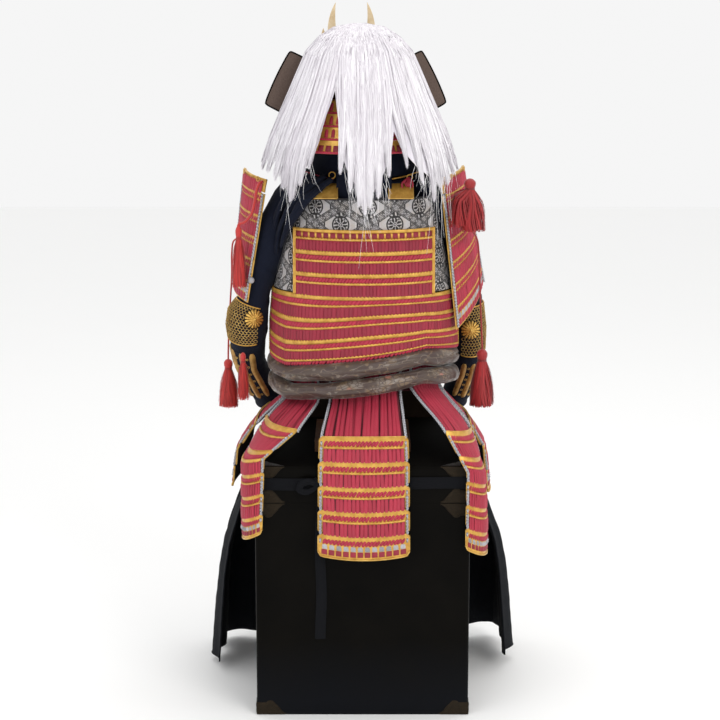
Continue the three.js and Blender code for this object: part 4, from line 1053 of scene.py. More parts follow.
def make_collar():
    """The quilted collar, open in front, and its two padded wings over the straps."""
    rings = [
        (1168, 112, 100, 68), (1140, 100, 92, 60), (1124, 78, 84, 54), (1113, 50, 80, 50), (1081, 45, 84, 50),
    ]
    steps = np.linspace(0, 1, 29)
    heights = np.interp(steps, [0, 0.3, 0.5, 0.65, 1], [ring[0] for ring in rings])

    def place(s, t):
        z = np.interp(t, steps, heights)
        return oval(lerp(-125, 125, s), z, *table(rings, z))

    sheet = Surface(place)
    part = Part("collar", NAVY, RED, GILT)
    s, t = np.meshgrid(np.linspace(0.002, 0.998, 73), np.linspace(0.005, 0.995, 25))
    quilt = 1.6 * np.abs(np.sin(t * math.pi * 5))
    quilt = quilt + 0.8 * np.sin(s * 41 + 3 * np.sin(t * 5)) * np.sin(t * 9)
    shell(part, sheet.at(s, t, quilt - 1.2), 4, NAVY, pattern=xyz(s * 300, t * 110, 0))
    lining = [(1158, 108, 97, 66), (1136, 114, 100, 70), (1110, 120, 103, 72)]
    u, v = np.meshgrid(np.linspace(0.002, 0.998, 61), np.linspace(0, 1, 7))
    z = lerp(1158, 1110, v)
    sag = 1.6 * np.sin(u * 37 + 2 * np.sin(v * 6)) * np.sin(v * 5 + 0.4)
    cape = oval(lerp(-112, 112, u), z, *table(lining, z), sag)
    shell(part, cape, 2.4, NAVY, pattern=xyz(u * 340, v * 60, 0))
    u, v = even(25, 17)
    x, z = lerp(BODY_X - 56, BODY_X + 56, u), lerp(1118, 1062, v)
    y = -97 - 3.5 * np.sin(math.pi * v) - 1.6 * np.sin(u * 17 + v * 5)
    shell(part, xyz(x, y, z), 2.4, NAVY, pattern=xyz(x, z, 0))
    run = np.linspace(0.004, 0.996, 120)
    for down, radius, material in ((0.0, 2.4, NAVY), (0.16, 1.0, RED), (0.2, 1.0, RED)):
        tube(part, sheet.at(run, down, 1.0), radius, 6, material)
    strap = np.array([(-88, 1091.2), *STRAP_LINE[2:6]])
    for side in (-1, 1):
        u, v = np.meshgrid(np.linspace(0, 1, 29), np.linspace(1, 0, 27))
        if side < 0:
            u = u[:, ::-1]
        y = lerp(-88, 64, v)
        z = lerp(np.interp(y, strap[:, 0], strap[:, 1]), 1110, u**2) + 5.3
        x = BODY_X + side * lerp(43.5, 148, u)
        crumple = 1.7 * np.sin(u * 9 + 4 * v + side) * np.sin(v * 7 + u * 5)
        crumple = crumple + 1.0 * np.sin(u * 23 - v * 17 + side)
        puff = 3.0 * (1 - np.abs(2 * v - 1) ** 4) * (1 - u**6)
        points = xyz(x, y, z + np.clip(crumple + puff, -0.5, 6))
        shell(part, points, 3.2, NAVY, pattern=xyz(x, y, 0))
        for edge in (points[0], points[-1], points[:, 0] if side < 0 else points[:, -1]):
            tube(part, edge - [0, 0, 1.4], 1.9, 6, NAVY)
        tie = [(60, -92, 1104), (84, -86, 1108), (112, -78, 1116), (140, -64, 1120)]
        rope(part, spline([(side * x, y, z) for x, y, z in tie], 8), 1.6, RED if side < 0 else GILT)
    for x, z, radius in ((-62, 1112, 6.5), (96, 1108, 5.5)):
        tube(part, hoop((x, -96, z), RIGHT, UP, radius), 1.2, 6, GILT, ends=False)
    random = np.random.default_rng(17)
    for _ in range(9):
        start = np.array([92 + random.normal(0, 2), -97, 1108 - random.uniform(0, 4)])
        end = start + [random.normal(3, 5), random.normal(-2, 2), -random.uniform(12, 30)]
        middle = (start + end) / 2 + random.normal(0, 4, 3)
        tube(part, spline([start, middle, end], 6), 2.1, 6, RED)
    part.make()


make_collar()


# ---------------------------------------------------------------- sash
def sash_ring(turn, angle, middle, swell=0.0):
    """The surface of a roll: turn runs round the hips in degrees, and angle round the roll in radians."""
    z = middle + sash_lift(turn) + (SASH["z"] + swell) * np.sin(angle)
    return oval(turn, z, SASH["half"], SASH["back"], SASH["front"], (SASH["x"] + swell) * np.cos(angle))


def closed_both_ways(grid):
    """A ring's grid, with its first row and column again at the end; the rows run round the roll."""
    return np.pad(grid, ((0, 1), (0, 1), (0, 0)), "wrap").transpose(1, 0, 2)


def make_roll(name, middle, seed):
    """Satin pulled round a padded core: a slack roll with creases along it and a slanting twist."""
    random = np.random.default_rng(seed)
    turns = np.linspace(-180, 180, 241)[:-1]
    angles = bearings(40)
    turn, angle = np.meshgrid(turns, -angles, indexing="ij")
    swell = np.full(turn.shape, -1.6)
    for _ in range(9):
        start, length = random.uniform(-180, 180), random.uniform(24, 80)
        height, drift = random.uniform(-1.2, 1.2), random.uniform(-0.012, 0.012)
        away = (turn - start + 180) % 360 - 180
        line = height + drift * away + 0.25 * np.sin(away * 0.11 + start)
        gap = np.angle(np.exp(1j * (-angle - line)))
        fade = np.exp(-((away / length) ** 2))
        swell -= random.uniform(1.3, 2.8) * fade * np.exp(-((gap / 0.11) ** 2))
        swell += random.uniform(0.5, 1.2) * fade * np.exp(-(((np.abs(gap) - 0.26) / 0.16) ** 2))
    for _ in range(26):
        start, wide, slant = random.uniform(-180, 180), random.uniform(1.6, 4.5), random.uniform(-7, 7)
        away = (turn - start - slant * np.sin(-angle) + 180) % 360 - 180
        swell -= random.uniform(0.4, 1.5) * np.exp(-((away / wide) ** 2)) * (0.5 + 0.5 * np.cos(angle))
    swell += 1.1 * np.sin(np.radians(turn) * 5 + seed) + 0.6 * np.sin(np.radians(turn) * 11 + angle * 2)
    points = sash_ring(turn, angle, middle, swell)
    part = Part(name, SASH_SILK)
    run = np.radians(turn) * 170
    pattern = xyz(run, -angle * 19 + seed * 31, 0)
    part.grids(closed_both_ways(points)[None], SASH_SILK, closed_both_ways(pattern))
    piece = part.make()
    merge_seams(piece)
    return piece


def merge_seams(piece):
    """Joins points that lie on each other, so that a wrapped surface has no open seam."""
    work = bmesh.new()
    work.from_mesh(piece.data)
    bmesh.ops.remove_doubles(work, verts=work.verts, dist=1e-5)
    bmesh.ops.recalc_face_normals(work, faces=work.faces)
    work.to_mesh(piece.data)
    work.free()


make_roll("sash_upper", SASH["upper"], 3)
make_roll("sash_lower", SASH["lower"], 8)


def fold_band(part, path, facing, widths, material, thick=2.0, creases=3, pull=1.5, seed=1, tile=0.0):
    """A band of folded cloth along a path. facing points out of the band's front."""
    path = np.asarray(path, float)
    ahead = unit(np.gradient(path, axis=0))
    side = unit(np.cross(np.broadcast_to(facing, path.shape), ahead))
    out = unit(np.cross(ahead, side))
    u = np.linspace(-1, 1, 15)
    widths = np.interp(np.linspace(0, 1, len(path)), np.linspace(0, 1, len(widths)), widths)
    run = run_of(path)[:, None]
    ripple = pull * np.sin(u * math.pi * creases + seed + run * 0.02)
    ripple = ripple * (0.5 + 0.5 * np.sin(run * 0.03 + u * 2 + seed))
    lift = ripple + 2.0 * (1 - u**2)
    across = u * widths[:, None] / 2
    points = path[:, None] + side[:, None] * across[..., None] + out[:, None] * lift[..., None]
    shell(part, points, thick, material, pattern=xyz(across + tile, run, 0))


def make_sash_knot():
    """The sash is tied in front: a flat cross-over knot, two loops and two hanging ends."""
    part = Part("sash_knot", SASH_SILK)
    middle = [BODY_X, SASH["front"] + SASH["x"] + 6, 0]

    def band(points, widths, sign=1, **fold):
        path = spline(np.array(points) * [sign, 1, 1] + middle, 8)
        fold_band(part, path, -BACK, widths, SASH_SILK, **fold)

    band([(-27, 1, 726), (-8, 22, 716), (10, 24, 694), (24, 4, 676)], [30, 42, 44, 30],
         thick=5, seed=2, tile=40)
    band([(27, 1, 726), (10, 14, 718), (-8, 15, 692), (-25, 2, 676)], [26, 38, 40, 28],
         thick=5, seed=5, tile=90)
    for sign, seed in ((1, 3), (-1, 7)):
        band([(3, 14, 706), (18, 20, 692), (30, 20, 662), (26, 22, 640), (12, 18, 660), (2, 12, 694)],
             [16, 24, 26, 26, 22, 14], sign, thick=1.6, creases=2, seed=seed, tile=seed * 20)
        band([(6, 14, 690), (14, 34, 660), (20, 64, 612), (23, 90, 575), (24, 96, 544)],
             [20, 30, 38, 40, 40], sign, thick=1.6, creases=2, seed=seed + 2, tile=seed * 33)
    part.make()


make_sash_knot()

# ---------------------------------------------------------------- skirt
# name, turns on the hips, plates, sag of a plate's edge, and the plan curve at each level:
# z0, z1, x0, y0, corner x, corner y, x1, y1.
SKIRTS = [
    ("back_centre", -27, 29, 5, 9, [
        (597, 597, -87, -222, 3, -232, 91, -222), (545, 545, -89, -231, 3, -243, 94, -231),
        (350, 350, -91, -243, 3, -256, 96, -243)]),
    ("back_left", -78, -35, 5, 6, [
        (609, 605, -197, -78, -194, -186, -128, -203), (530, 552, -240, -90, -261, -248, -199, -237),
        (364, 396, -244, -92, -260, -245, -205, -238)]),
    ("back_right", 36, 76, 5, 6, [
        (603, 588, 166, -203, 220, -198, 224, -92), (524, 498, 211, -236, 262, -246, 248, -92),
        (362, 332, 210, -239, 268, -250, 256, -92)]),
    ("side_left", -124, -83, 3, 4, [
        (600, 583, -196, 84, -226, 40, -222, -38), (540, 524, -236, 96, -268, 40, -264, -34),
        (446, 438, -256, 106, -284, 46, -278, -30)]),
    ("side_right", 83, 124, 3, 4, [
        (583, 600, 224, -38, 230, 40, 198, 84), (524, 540, 256, -34, 270, 40, 240, 96),
        (424, 436, 268, -30, 288, 46, 258, 106)]),
    ("front_left", -177, -130, 5, 6, [
        (600, 600, -12, 224, -95, 236, -158, 204), (540, 540, -12, 240, -100, 254, -182, 238),
        (356, 356, -12, 262, -104, 276, -196, 262)]),
    ("front_right", 130, 177, 5, 6, [
        (600, 600, 164, 204, 101, 236, 18, 224), (540, 540, 188, 238, 106, 254, 18, 240),
        (356, 356, 202, 262, 110, 276, 18, 262)]),
]
HIP = (163, 124, 112)


def skirt_sheet(levels, hang):
    levels = np.array(levels, float)
    heights = (levels[:, 0] + levels[:, 1]) / 2
    drop = heights[0] - heights[-1]

    def place(s, down):
        z = heights[0] - down * drop
        z0, z1, x0, y0, xc, yc, x1, y1 = [np.interp(-z, -heights, levels[:, i]) for i in range(8)]
        below = np.minimum(z - heights[-1], 0)
        bend = lambda a, b, c: (1 - s) ** 2 * a + 2 * s * (1 - s) * b + s**2 * c
        lift = lerp(z0, z1, s) - hang * down * 4 * s * (1 - s) + below
        return xyz(bend(x0, xc, x1), bend(y0, yc, y1), lift)

    return Surface(place)


def make_plates(name, plates, sheet):
    """Laced boards one over the other, each with a smooth gilt frame and rounded corners."""
    part = Part(f"plates_{name}", RED, RED_IN_SHADE, GILT, INNER, SILVER, WHITE_KNOT, GILT_BRIGHT, RED_SHADE)
    height, width = sheet.height, sheet.across(0.5)
    mm = 1 / height
    for i in range(plates):
        t0, t1 = i / plates, (i + 1) / plates
        last = i == plates - 1
        u, w = even(33, 9)
        edge = np.minimum(u[0], 1 - u[0]) * width
        drop = round_off(edge, 6.0)
        foot = round_off(edge, 10.0 if last else 3.0)
        top = t0 + drop * mm
        bottom = t1 - 0.006 - foot * mm * 0.9
        shell(part, sheet.at(u, lerp(top, bottom, w), lerp(3.0, 0.2, w)), 2.3, GILT, INNER, GILT_BRIGHT)
        # A lighter gilt bead along each board's top edge: a painted highlight.
        tube(part, sheet.at(u[0], top + 0.6 * mm, 3.5), 1.0, 6, GILT_BRIGHT)
        for s_edge in (0.0, 1.0):
            down = np.linspace(t0 + 7 * mm, bottom[0] - 1 * mm, 12)
            tube(part, sheet.at(s_edge, down, lerp(2.6, 0.4, np.linspace(0, 1, 12))), 1.0, 6, GILT_BRIGHT)
        margin = 9.5 / width
        span = {"s0": margin, "s1": 1 - margin}
        for s_edge in (margin * 0.52, 1 - margin * 0.52):
            knot = sheet.at(s_edge, np.linspace(t0 + 10.5 * mm, t0 + 19 * mm, 6), 3.2)
            rope(part, knot, 2.3, SILVER)
        twists(part, sheet, t0 + 15 * mm, RED, size=(6.4, 3.2), out=2.4, **span)
        if last:
            squares(part, sheet, t0 + 21 * mm, t0 + 32 * mm, WHITE_KNOT, pitch=14.4, fill=0.74,
                    out=1.2, rise=5.0, cross=True, s0=0.035, s1=0.965)
            # This knot row is the darker red copy: painted shade.
            squares(part, sheet, t0 + 32.5 * mm, t0 + 43.5 * mm, RED_IN_SHADE, pitch=14.4, fill=0.78,
                    out=1.2, rise=2.2, s0=0.03, s1=0.97)
            tube(part, sheet.at(u[0], bottom - 1.0 * mm, 1.4), 1.6, 6, GILT_BRIGHT)
            continue
        underlay(part, sheet, t0 + 26 * mm, t1 + 1 * mm, RED_SHADE, 3.1, **span)
        edge_line(part, sheet, t0 + 21 * mm, t0 + 25.5 * mm, GILT, pitch=8.2, tooth=1.2, out=4.0, **span)
        pulls(part, sheet, t0 + 24 * mm, t1 + 1.5 * mm, RED, pitch=8.2, uneven=0.07, out=3.2, out_end=3.6,
              bulge=1.9, gap=0.05, belly=0.9, **span)
        for s_edge in (margin * 0.52, 1 - margin * 0.52):
            run = np.linspace(t0 + 22 * mm, t1 + 1.5 * mm, 14)
            rope(part, sheet.at(s_edge, run, 3.6), 2.9, SILVER)
    return part.make()


def round_off(edge, corner):
    """How far a rounded corner cuts in, by the distance from the board's side."""
    return corner - np.sqrt(np.maximum(corner**2 - np.maximum(corner - edge, 0) ** 2, 0))


def make_long_lacing(name, turn0, turn1, sheet):
    """The slack lacing from under the sash to a section's first plate."""
    def start(s, drop):
        turn = lerp(turn0, turn1, s)
        return oval(turn, np.maximum(waist_hem(turn) - 3.5 - drop, 640), *HIP, out=-2.0)

    def place(s, t):
        s, t = np.broadcast_arrays(s, t)
        high = start(s, 84 * np.clip(t, 0, 0.34) / 0.34)
        run = np.clip((t - 0.34) / 0.66, 0, 1.1)
        goal = sheet.place(s, 0 * s) - 3.0 * UP
        ease = (smooth(run) * 0.35 + run * 0.65)[..., None]
        flat = high[..., :2] * (1 - ease) + goal[..., :2] * ease
        z = high[..., 2] * (1 - run) + goal[..., 2] * run
        return np.concatenate([flat, z[..., None]], axis=-1)

    hang = Surface(place)
    part = Part(f"lacing_{name}", RED, RED_IN_SHADE, SILVER, RED_SHADE)
    underlay(part, hang, 0.04, 1.0, RED_SHADE, -3.6, s0=0.05, s1=0.95)
    # The cords behind are the darker red copy and the ones in front the plain red: painted shade on the
    # hidden layer.
    pulls(part, hang, 0.02, 1.0, RED_IN_SHADE, pitch=8.2, uneven=0.3, out=-3.2, bulge=1.2, gap=0.1, rows=9,
          belly=1.0, s0=0.06, s1=0.94)
    pulls(part, hang, 0.02, 1.0, RED, pitch=8.2, uneven=0.26, out=-1.6, bulge=2.0, gap=0.1, rows=12,
          belly=2.2, s0=0.055, s1=0.945)
    for s_edge in (0.022, 0.978):
        run = np.linspace(0.05, 1.02, 40)
        rope(part, hang.at(s_edge, run, 1.0), 3.1, SILVER)
    part.make()


for name, turn0, turn1, plates, hang, levels in SKIRTS:
    sheet = skirt_sheet(levels, hang)
    make_plates(name, plates, sheet)
    make_long_lacing(name, turn0, turn1, sheet)


# ---------------------------------------------------------------- sleeves
# Each row is a point on the arm's line, then the sleeve's half width and half depth there.
SLEEVES = {
    "left": [
        (-120, -6, 1092, 34, 44), (-148, -9, 1052, 40, 43), (-180, -12, 990, 42, 41),
        (-212, -10, 910, 34, 39), (-223, -7, 862, 29, 35), (-229, -6, 838, 33, 36),
        (-240, -4, 812, 42, 37), (-243, 0, 785, 43, 37),
        (-244, 14, 752, 38, 35), (-242, 50, 700, 32, 33), (-224, 92, 646, 31, 31), (-206, 124, 600, 29, 29)],
    "right": [
        (117, -4, 1092, 33, 42), (144, -4, 1050, 34, 40), (170, 8, 985, 33, 39), (208, 38, 905, 22, 34),
        (226, 46, 834, 29, 35), (230, 50, 772, 32, 37), (230, 66, 722, 32, 35), (226, 96, 680, 31, 33),
        (214, 128, 632, 31, 31), (202, 152, 594, 29, 29)],
}
ARM_GUARDS = {
    "left": {"mail": (834, 762), "splints": (742, 628), "boss": (806, 18), "turns": (-150, 30)},
    "right": {"mail": (824, 726), "splints": (708, 622), "boss": (773, 0), "turns": (-30, 150)},
}


class Sleeve:
    """A bent tube: points by height and by turn from straight back towards the wearer's right."""

    def __init__(self, rows):
        rows = np.array(rows, float)
        ahead = unit(np.gradient(rows[:, :3], axis=0))
        back = unit(BACK + ahead * ahead[:, 1:2])
        side = np.cross(back, ahead)
        self.rows = rows[::-1]
        self.back = back[::-1]
        self.side = side[::-1]
        self.top, self.bottom = rows[0, 2], rows[-1, 2]

    def read(self, values, z):
        """The rows' values at a height, column by column."""
        return xyz(*(np.interp(z, self.rows[:, 2], column) for column in values.T))

    def point(self, turn, z, out=0.0):
        turn, z = np.broadcast_arrays(np.asarray(turn, float), np.asarray(z, float))
        row = self.read(self.rows, z)
        angle = np.radians(turn)[..., None]
        back = unit(self.read(self.back, z)) * np.cos(angle) * (row[..., 4:5] + out)
        side = unit(self.read(self.side, z)) * np.sin(angle) * (row[..., 3:4] + out)
        return xyz(row[..., 0], row[..., 1], z) + back + side

    def sheet(self, top, bottom, turn0, turn1, out=0.0):
        return Surface(lambda s, t: self.point(lerp(turn0, turn1, s), lerp(top, bottom, t), out))


def crease(s, t, s0, t0, s1, t1, wide, deep):
    """A fold from one place to another: a ridge that fades at its ends."""
    ds, dt = s1 - s0, t1 - t0
    length = math.hypot(ds, dt)
    along = ((s - s0) * ds + (t - t0) * dt) / length**2
    away = ((s - s0) * dt - (t - t0) * ds) / length
    body = np.clip(np.minimum(along, 1 - along) * 4 + 0.35, 0, 1)
    ridge = np.exp(-((away / wide) ** 2))
    hollow = np.exp(-(((away - 1.8 * wide) / wide) ** 2))
    return deep * smooth(body) * (ridge - 0.5 * hollow)


def make_sleeve(side):
    sleeve = Sleeve(SLEEVES[side])
    sheet = sleeve.sheet(sleeve.top, sleeve.bottom, -180, 180)
    s, t = even(53, 111)
    folds = 0 * s
    random = np.random.default_rng(5 if side == "left" else 9)
    for _ in range(26):
        height, middle = random.uniform(0.04, 0.97), random.uniform(0, 1)
        reach, slant = random.uniform(0.12, 0.3), random.uniform(-0.035, 0.035)
        shifted = (s - middle + 0.5) % 1.0
        folds = folds + crease(
            shifted, t, 0.5 - reach, height - slant, 0.5 + reach, height + slant,
            random.uniform(0.006, 0.013), random.uniform(0.8, 2.6),
        )
    folds = np.clip(folds, -1.6, 2.0) * np.clip(np.minimum(t, 1 - t) * 20, 0, 1)
    folds[:, -1] = folds[:, 0]
    part = Part(f"sleeve_{side}", NAVY)
    shell(part, sheet.at(s, t, folds), 1.6, NAVY, pattern=xyz(s * sheet.width, t * sheet.height, 0))
    tube(part, sleeve.point(np.linspace(-180, 180, 60), sleeve.bottom + 1.5, 0.8), 1.5, 6, NAVY)
    piece = part.make()
    return sleeve


def ring_mesh(part, sheet, columns, rows, radius, thick, material):
    """Linked rings laid over a sheet, every other row half a ring along and tilted the other way."""
    a, b = np.meshgrid(bearings(9), bearings(4), indexing="ij")
    reach = radius + thick * np.cos(b)
    x, y = reach * np.cos(a), reach * np.sin(a)
    for r in range(rows):
        odd = r % 2
        middle = (np.arange(columns) + 0.5 + 0.5 * odd) / (columns + 0.5)
        tilt = 0.36 if odd else -0.36
        lift = 1.0 + thick * np.sin(b) + tilt * x + each(rng.normal(0, 0.12, columns))
        points = sheet.at(each(middle) + x / sheet.across(0.5), (r + 0.5) / rows + y / sheet.height, lift)
        wrapped = np.concatenate([points, points[:, :1]], axis=1)
        part.grids(wrapped.transpose(0, 2, 1, 3)[:, ::-1], material)
        closing = np.stack([wrapped[:, :, 0], wrapped[:, :, -1]], axis=1)
        part.grids(closing[:, ::-1], material)


def make_boss(side, sleeve):
    """A domed boss with sixteen petals round a small bead."""
    z, turn = ARM_GUARDS[side]["boss"]
    angle = math.radians(turn)
    facing, across = spun(BACK, angle), spun(RIGHT, angle)
    x, y, _, _, deep = sleeve.read(sleeve.rows, z)
    middle = np.array([x, y, z]) + facing * (deep + 6.6)
    part = Part(f"elbow_boss_{side}", BOSS, BRONZE, GILT_BRIGHT)

    def dome(radius, height, petals, material, base, rings=12):
        r = np.linspace(1, 0.02, rings)[:, None]
        a = bearings(128)
        dent = 1 - np.abs(np.sin(a * petals / 2)) ** 0.45 if petals else 0 * a
        reach = radius * r * (1 - 0.1 * dent * (r > 0.6))
        rise = base + height * (1 - r**2.2) * (1 - 0.25 * dent * np.clip((1 - r) * 4 + 0.2, 0, 1))
        rise = rise - 1.1 * dent * (r > 0.25)
        flat = (reach * np.cos(a))[..., None] * across + (reach * np.sin(a))[..., None] * UP
        part.grids((middle + flat + rise[..., None] * facing)[None], material, closed=True)

    dome(21, 6.5, 0, BRONZE, -0.4)
    dome(20, 8.0, 16, BOSS, 0.6)
    dome(8.5, 4.0, 8, GILT_BRIGHT, 6.2)
    dome(3.6, 3.4, 0, BOSS, 9.4, rings=7)
    part.make()


def make_arm(side):
    sleeve = make_sleeve(side)
    guard = ARM_GUARDS[side]
    turn0, turn1 = guard["turns"]
    mail = Part(f"mail_{side}", MAIL, NAVY, GILT)
    top, bottom = guard["mail"]
    sheet = sleeve.sheet(top, bottom, turn0, turn1, 1.6)
    s, t = even(31, 15)
    shell(mail, sheet.at(s, t, 0), 1.0, NAVY)
    columns = int(sheet.across(0.5) / 7.0)
    ring_mesh(mail, sheet, columns, int(sheet.height / 5.6), 3.6, 0.72, MAIL)
    run = np.linspace(0, 1, 30)
    for down in (0.0, 1.0):
        tube(mail, sheet.at(run, down, 1.0), 1.5, 6, GILT)
    mail.make()

    splints = Part(f"splints_{side}", SPLINT, MAIL, NAVY)
    top, bottom = guard["splints"]
    sheet = sleeve.sheet(top, bottom, turn0, turn1, 1.4)
    shell(splints, sheet.at(s, t, 0), 1.0, NAVY)
    width, height = sheet.across(0.5), sheet.height
    for k in range(5):
        middle = (k + 0.5) / 5
        u, v = np.meshgrid(np.linspace(-1, 1, 9), np.linspace(-1, 1, 21))
        taper = 1 - np.maximum(np.abs(v) - 0.86, 0) / 0.14 * 0.55
        ridge = 2.4 * (1 - np.abs(u) ** 2.5) + 0.9 * np.exp(-((u / 0.16) ** 2)) + 1.0
        edge = np.maximum(np.abs(u), np.abs(v)) < 0.999
        points = sheet.at(middle + u * taper * 6.4 / width, 0.5 + v * 0.5, ridge * edge)
        splints.grids(points[None], SPLINT)
        if k < 4:
            for j in range(6):
                x, y, _ = hoop((0, 0, 0), RIGHT, -BACK, 2.4, 9).T
                spot = sheet.at(middle + 0.1 + x / width, 0.1 + j * 0.16 + y / height, 2.2)
                tube(splints, spot, 0.8, 5, MAIL, ends=False)
    splints.make()
    make_boss(side, sleeve)


# ---------------------------------------------------------------- shoulder guards
SODE = {
    "left": [(-247, 52, 1108), (-197, -54, 1094), (-274, 60, 864), (-240, -56, 842)],
    "right": [(161, -54, 1096), (211, 44, 1114), (196, -68, 786), (258, 62, 866)],
}
SODE_ROWS = {"left": 5, "right": 6}


def sode_sheet(side):
    left_top, right_top, left_bottom, right_bottom = np.array(SODE[side], float)
    outward = unit(np.cross(left_bottom - left_top, right_top - left_top))

    def place(s, t):
        s, t = np.broadcast_arrays(np.asarray(s, float), np.asarray(t, float))
        left = lerp(left_top, left_bottom, t[..., None])
        right = lerp(right_top, right_bottom, t[..., None])
        return lerp(left, right, s[..., None]) + outward * (12 * 4 * s * (1 - s))[..., None]

    return Surface(place)


def sode_unit(part, sheet, t0, t1, **span):
    """One plate of a shoulder guard: a narrow gilt edge, a twisted row, a thin line and its cords."""
    at = lambda share: lerp(t0, t1, share)
    tall = (t1 - t0) * sheet.height
    underlay(part, sheet, at(0.06), at(1.0), RED_SHADE, 1.6, **span)
    edge_line(part, sheet, at(-0.03), at(0.08), GILT, tooth=1.6, out=4.0, **span)
    twists(part, sheet, at(0.19), RED, size=(tall * 0.13, 3.1), out=2.2, **span)
    edge_line(part, sheet, at(0.31), at(0.345), GILT, out=3.2, **span)
    pulls(part, sheet, at(0.33), at(1.0), RED, out=2.4, out_end=3.0, **span)


def make_ball(part, centre, radius, material):
    a, b = np.meshgrid(bearings(24), np.linspace(0.02, math.pi - 0.02, 13))
    ball = xyz(np.sin(b) * np.cos(a), np.sin(b) * np.sin(a), np.cos(b))
    pattern = xyz(a * radius, b * radius * 2, 0.5)
    part.grids((np.array(centre) + ball * radius)[None], material, pattern, closed=True)


def make_sode(side):
    sheet = sode_sheet(side)
    part = Part(f"sode_{side}", RED, GILT, INNER, SILVER, WHITE_KNOT, GILT_BRIGHT, RED_SHADE)
    rows = SODE_ROWS[side]
    span = {"s0": 0.05, "s1": 0.95}
    for i in range(rows):
        t0, t1 = 0.1 + 0.9 * i / rows, 0.1 + 0.9 * (i + 1) / rows
        u, w = even(17, 5)
        shell(part, sheet.at(u, lerp(t0, t1 - 0.002, w), 3.0 * (1 - w) + 0.3), 2.2, GILT, INNER, GILT_BRIGHT)
        if i < rows - 1:
            sode_unit(part, sheet, t0, t1, **span)
    mm = 1 / sheet.height
    edge_line(part, sheet, t0 - 1 * mm, t0 + 4 * mm, GILT, tooth=1.6, out=4.0, **span)
    twists(part, sheet, t0 + 10 * mm, RED, s0=0.06, s1=0.94, out=2.6)
    squares(part, sheet, t0 + 16 * mm, t0 + 26 * mm, WHITE_KNOT, pitch=12, fill=0.8, out=1.8, rise=2.4,
            cross=True, **span)
    squares(part, sheet, t0 + 27 * mm, t1 - 3 * mm, RED, pitch=12, fill=0.86, out=1.2, **span)
    for s_edge in (0.022, 0.978):
        rope(part, sheet.at(s_edge, np.linspace(0.1, 0.985, 60), 3.4), 2.6, SILVER)
    for s_edge in (0.0, 1.0):
        tube(part, sheet.at(s_edge, np.linspace(0.1, 0.998, 60), -0.6), 1.2, 6, GILT_BRIGHT)
    if side == "left":
        make_ball(part, (-231, -59, 890), 6.6, WHITE_KNOT)
    part.make()

    top = Part(f"sode_top_{side}", GILT, INNER, GILT_BRIGHT, RED)
    u, w = np.meshgrid(np.linspace(0, 1, 25), np.linspace(-0.02, 0.088, 9))
    shell(top, sheet.at(u, w, 1.5 + 0.8 * np.sin(w * 29)), 2.5, GILT, INNER, GILT_BRIGHT)
    pulls(top, sheet, 0.0, 0.1, RED, out=3.6, out_end=3.8, s0=0.06, s1=0.94)
    tube(top, sheet.at(np.linspace(0, 1, 30), -0.016, 2.4), 1.6, 6, GILT_BRIGHT)
    for s_ring in (0.18, 0.82):
        centre = sheet.at(s_ring, -0.005, 5.0)
        normal = unit(sheet.at(s_ring, 0.02, 4.4) - sheet.at(s_ring, 0.02, 3.4))
        tube(top, hoop(centre, unit(np.cross(normal, UP)), UP, 5.0), 1.0, 6, GILT_BRIGHT, ends=False)
    top.make()


for side in ("left", "right"):
    make_arm(side)
    make_sode(side)


# ---------------------------------------------------------------- helmet
HELMET = {
    "x": -7, "y": -20, "turn": 7, "rim": 1262, "height": 128, "half": 116, "back": 132, "front": 128,
}


def on_head(points):
    """From the helmet's own frame to the model's: turned a little and set off the middle."""
    return spun(points, math.radians(HELMET["turn"])) + [HELMET["x"], HELMET["y"], 0]


def head_oval(turn, z, half, back, front, out=0.0):
    return on_head(oval(turn, z, half, back, front, out, middle=0))


def make_bowl():
    def place(s, t):
        rise = np.radians(lerp(7, 90, t))
        z = HELMET["rim"] + HELMET["height"] * np.cos(rise)
        half, back, front = (HELMET[reach] * np.sin(rise) for reach in ("half", "back", "front"))
        return head_oval(lerp(-180, 180, s), z, half, back, front)

    sheet = Surface(place)
    part = Part("helmet_bowl", STEEL_BROWN, INNER, GILT)
    s, t = even(161, 17)
    ribs = 32
    rib = 1.4 * np.exp(-((((s * ribs) % 1 - 0.5) / 0.09) ** 2))
    rib = rib * np.clip((t - 0.08) * 8, 0, 1) * np.clip((1 - t) * 12, 0, 1)
    shell(part, sheet.at(s, t, rib - 1.0), 2.4, STEEL_BROWN, INNER)
    tube(part, sheet.at(np.linspace(0, 1, 120), 0.985, 0.2), 1.9, 8, GILT)
    tube(part, sheet.at(np.linspace(0, 1, 60), 0.01, 1.2), 3.0, 8, GILT)
    piece = part.make()
    merge_seams(piece)


def make_peak():
    def place(s, t):
        turn = lerp(180 - 56, 180 + 56, s)
        out = 3.3 + t * 34 * np.maximum(np.sin(math.pi * np.clip(s, 0, 1)), 1e-4) ** 0.7
        z = HELMET["rim"] + 6 - t * 16
        return head_oval(turn, z, HELMET["half"] + out, HELMET["back"], HELMET["front"] + out)

    sheet = Surface(place)
    part = Part("helmet_peak", STEEL_BROWN, INNER, GILT)
    s, t = np.meshgrid(np.linspace(0.004, 0.996, 41), np.linspace(0, 1, 9))
    shell(part, sheet.at(s, t), 2.2, STEEL_BROWN, INNER)
    tube(part, sheet.at(np.linspace(0.01, 0.99, 80), 1.0, -0.8), 1.8, 8, GILT)
    part.make()


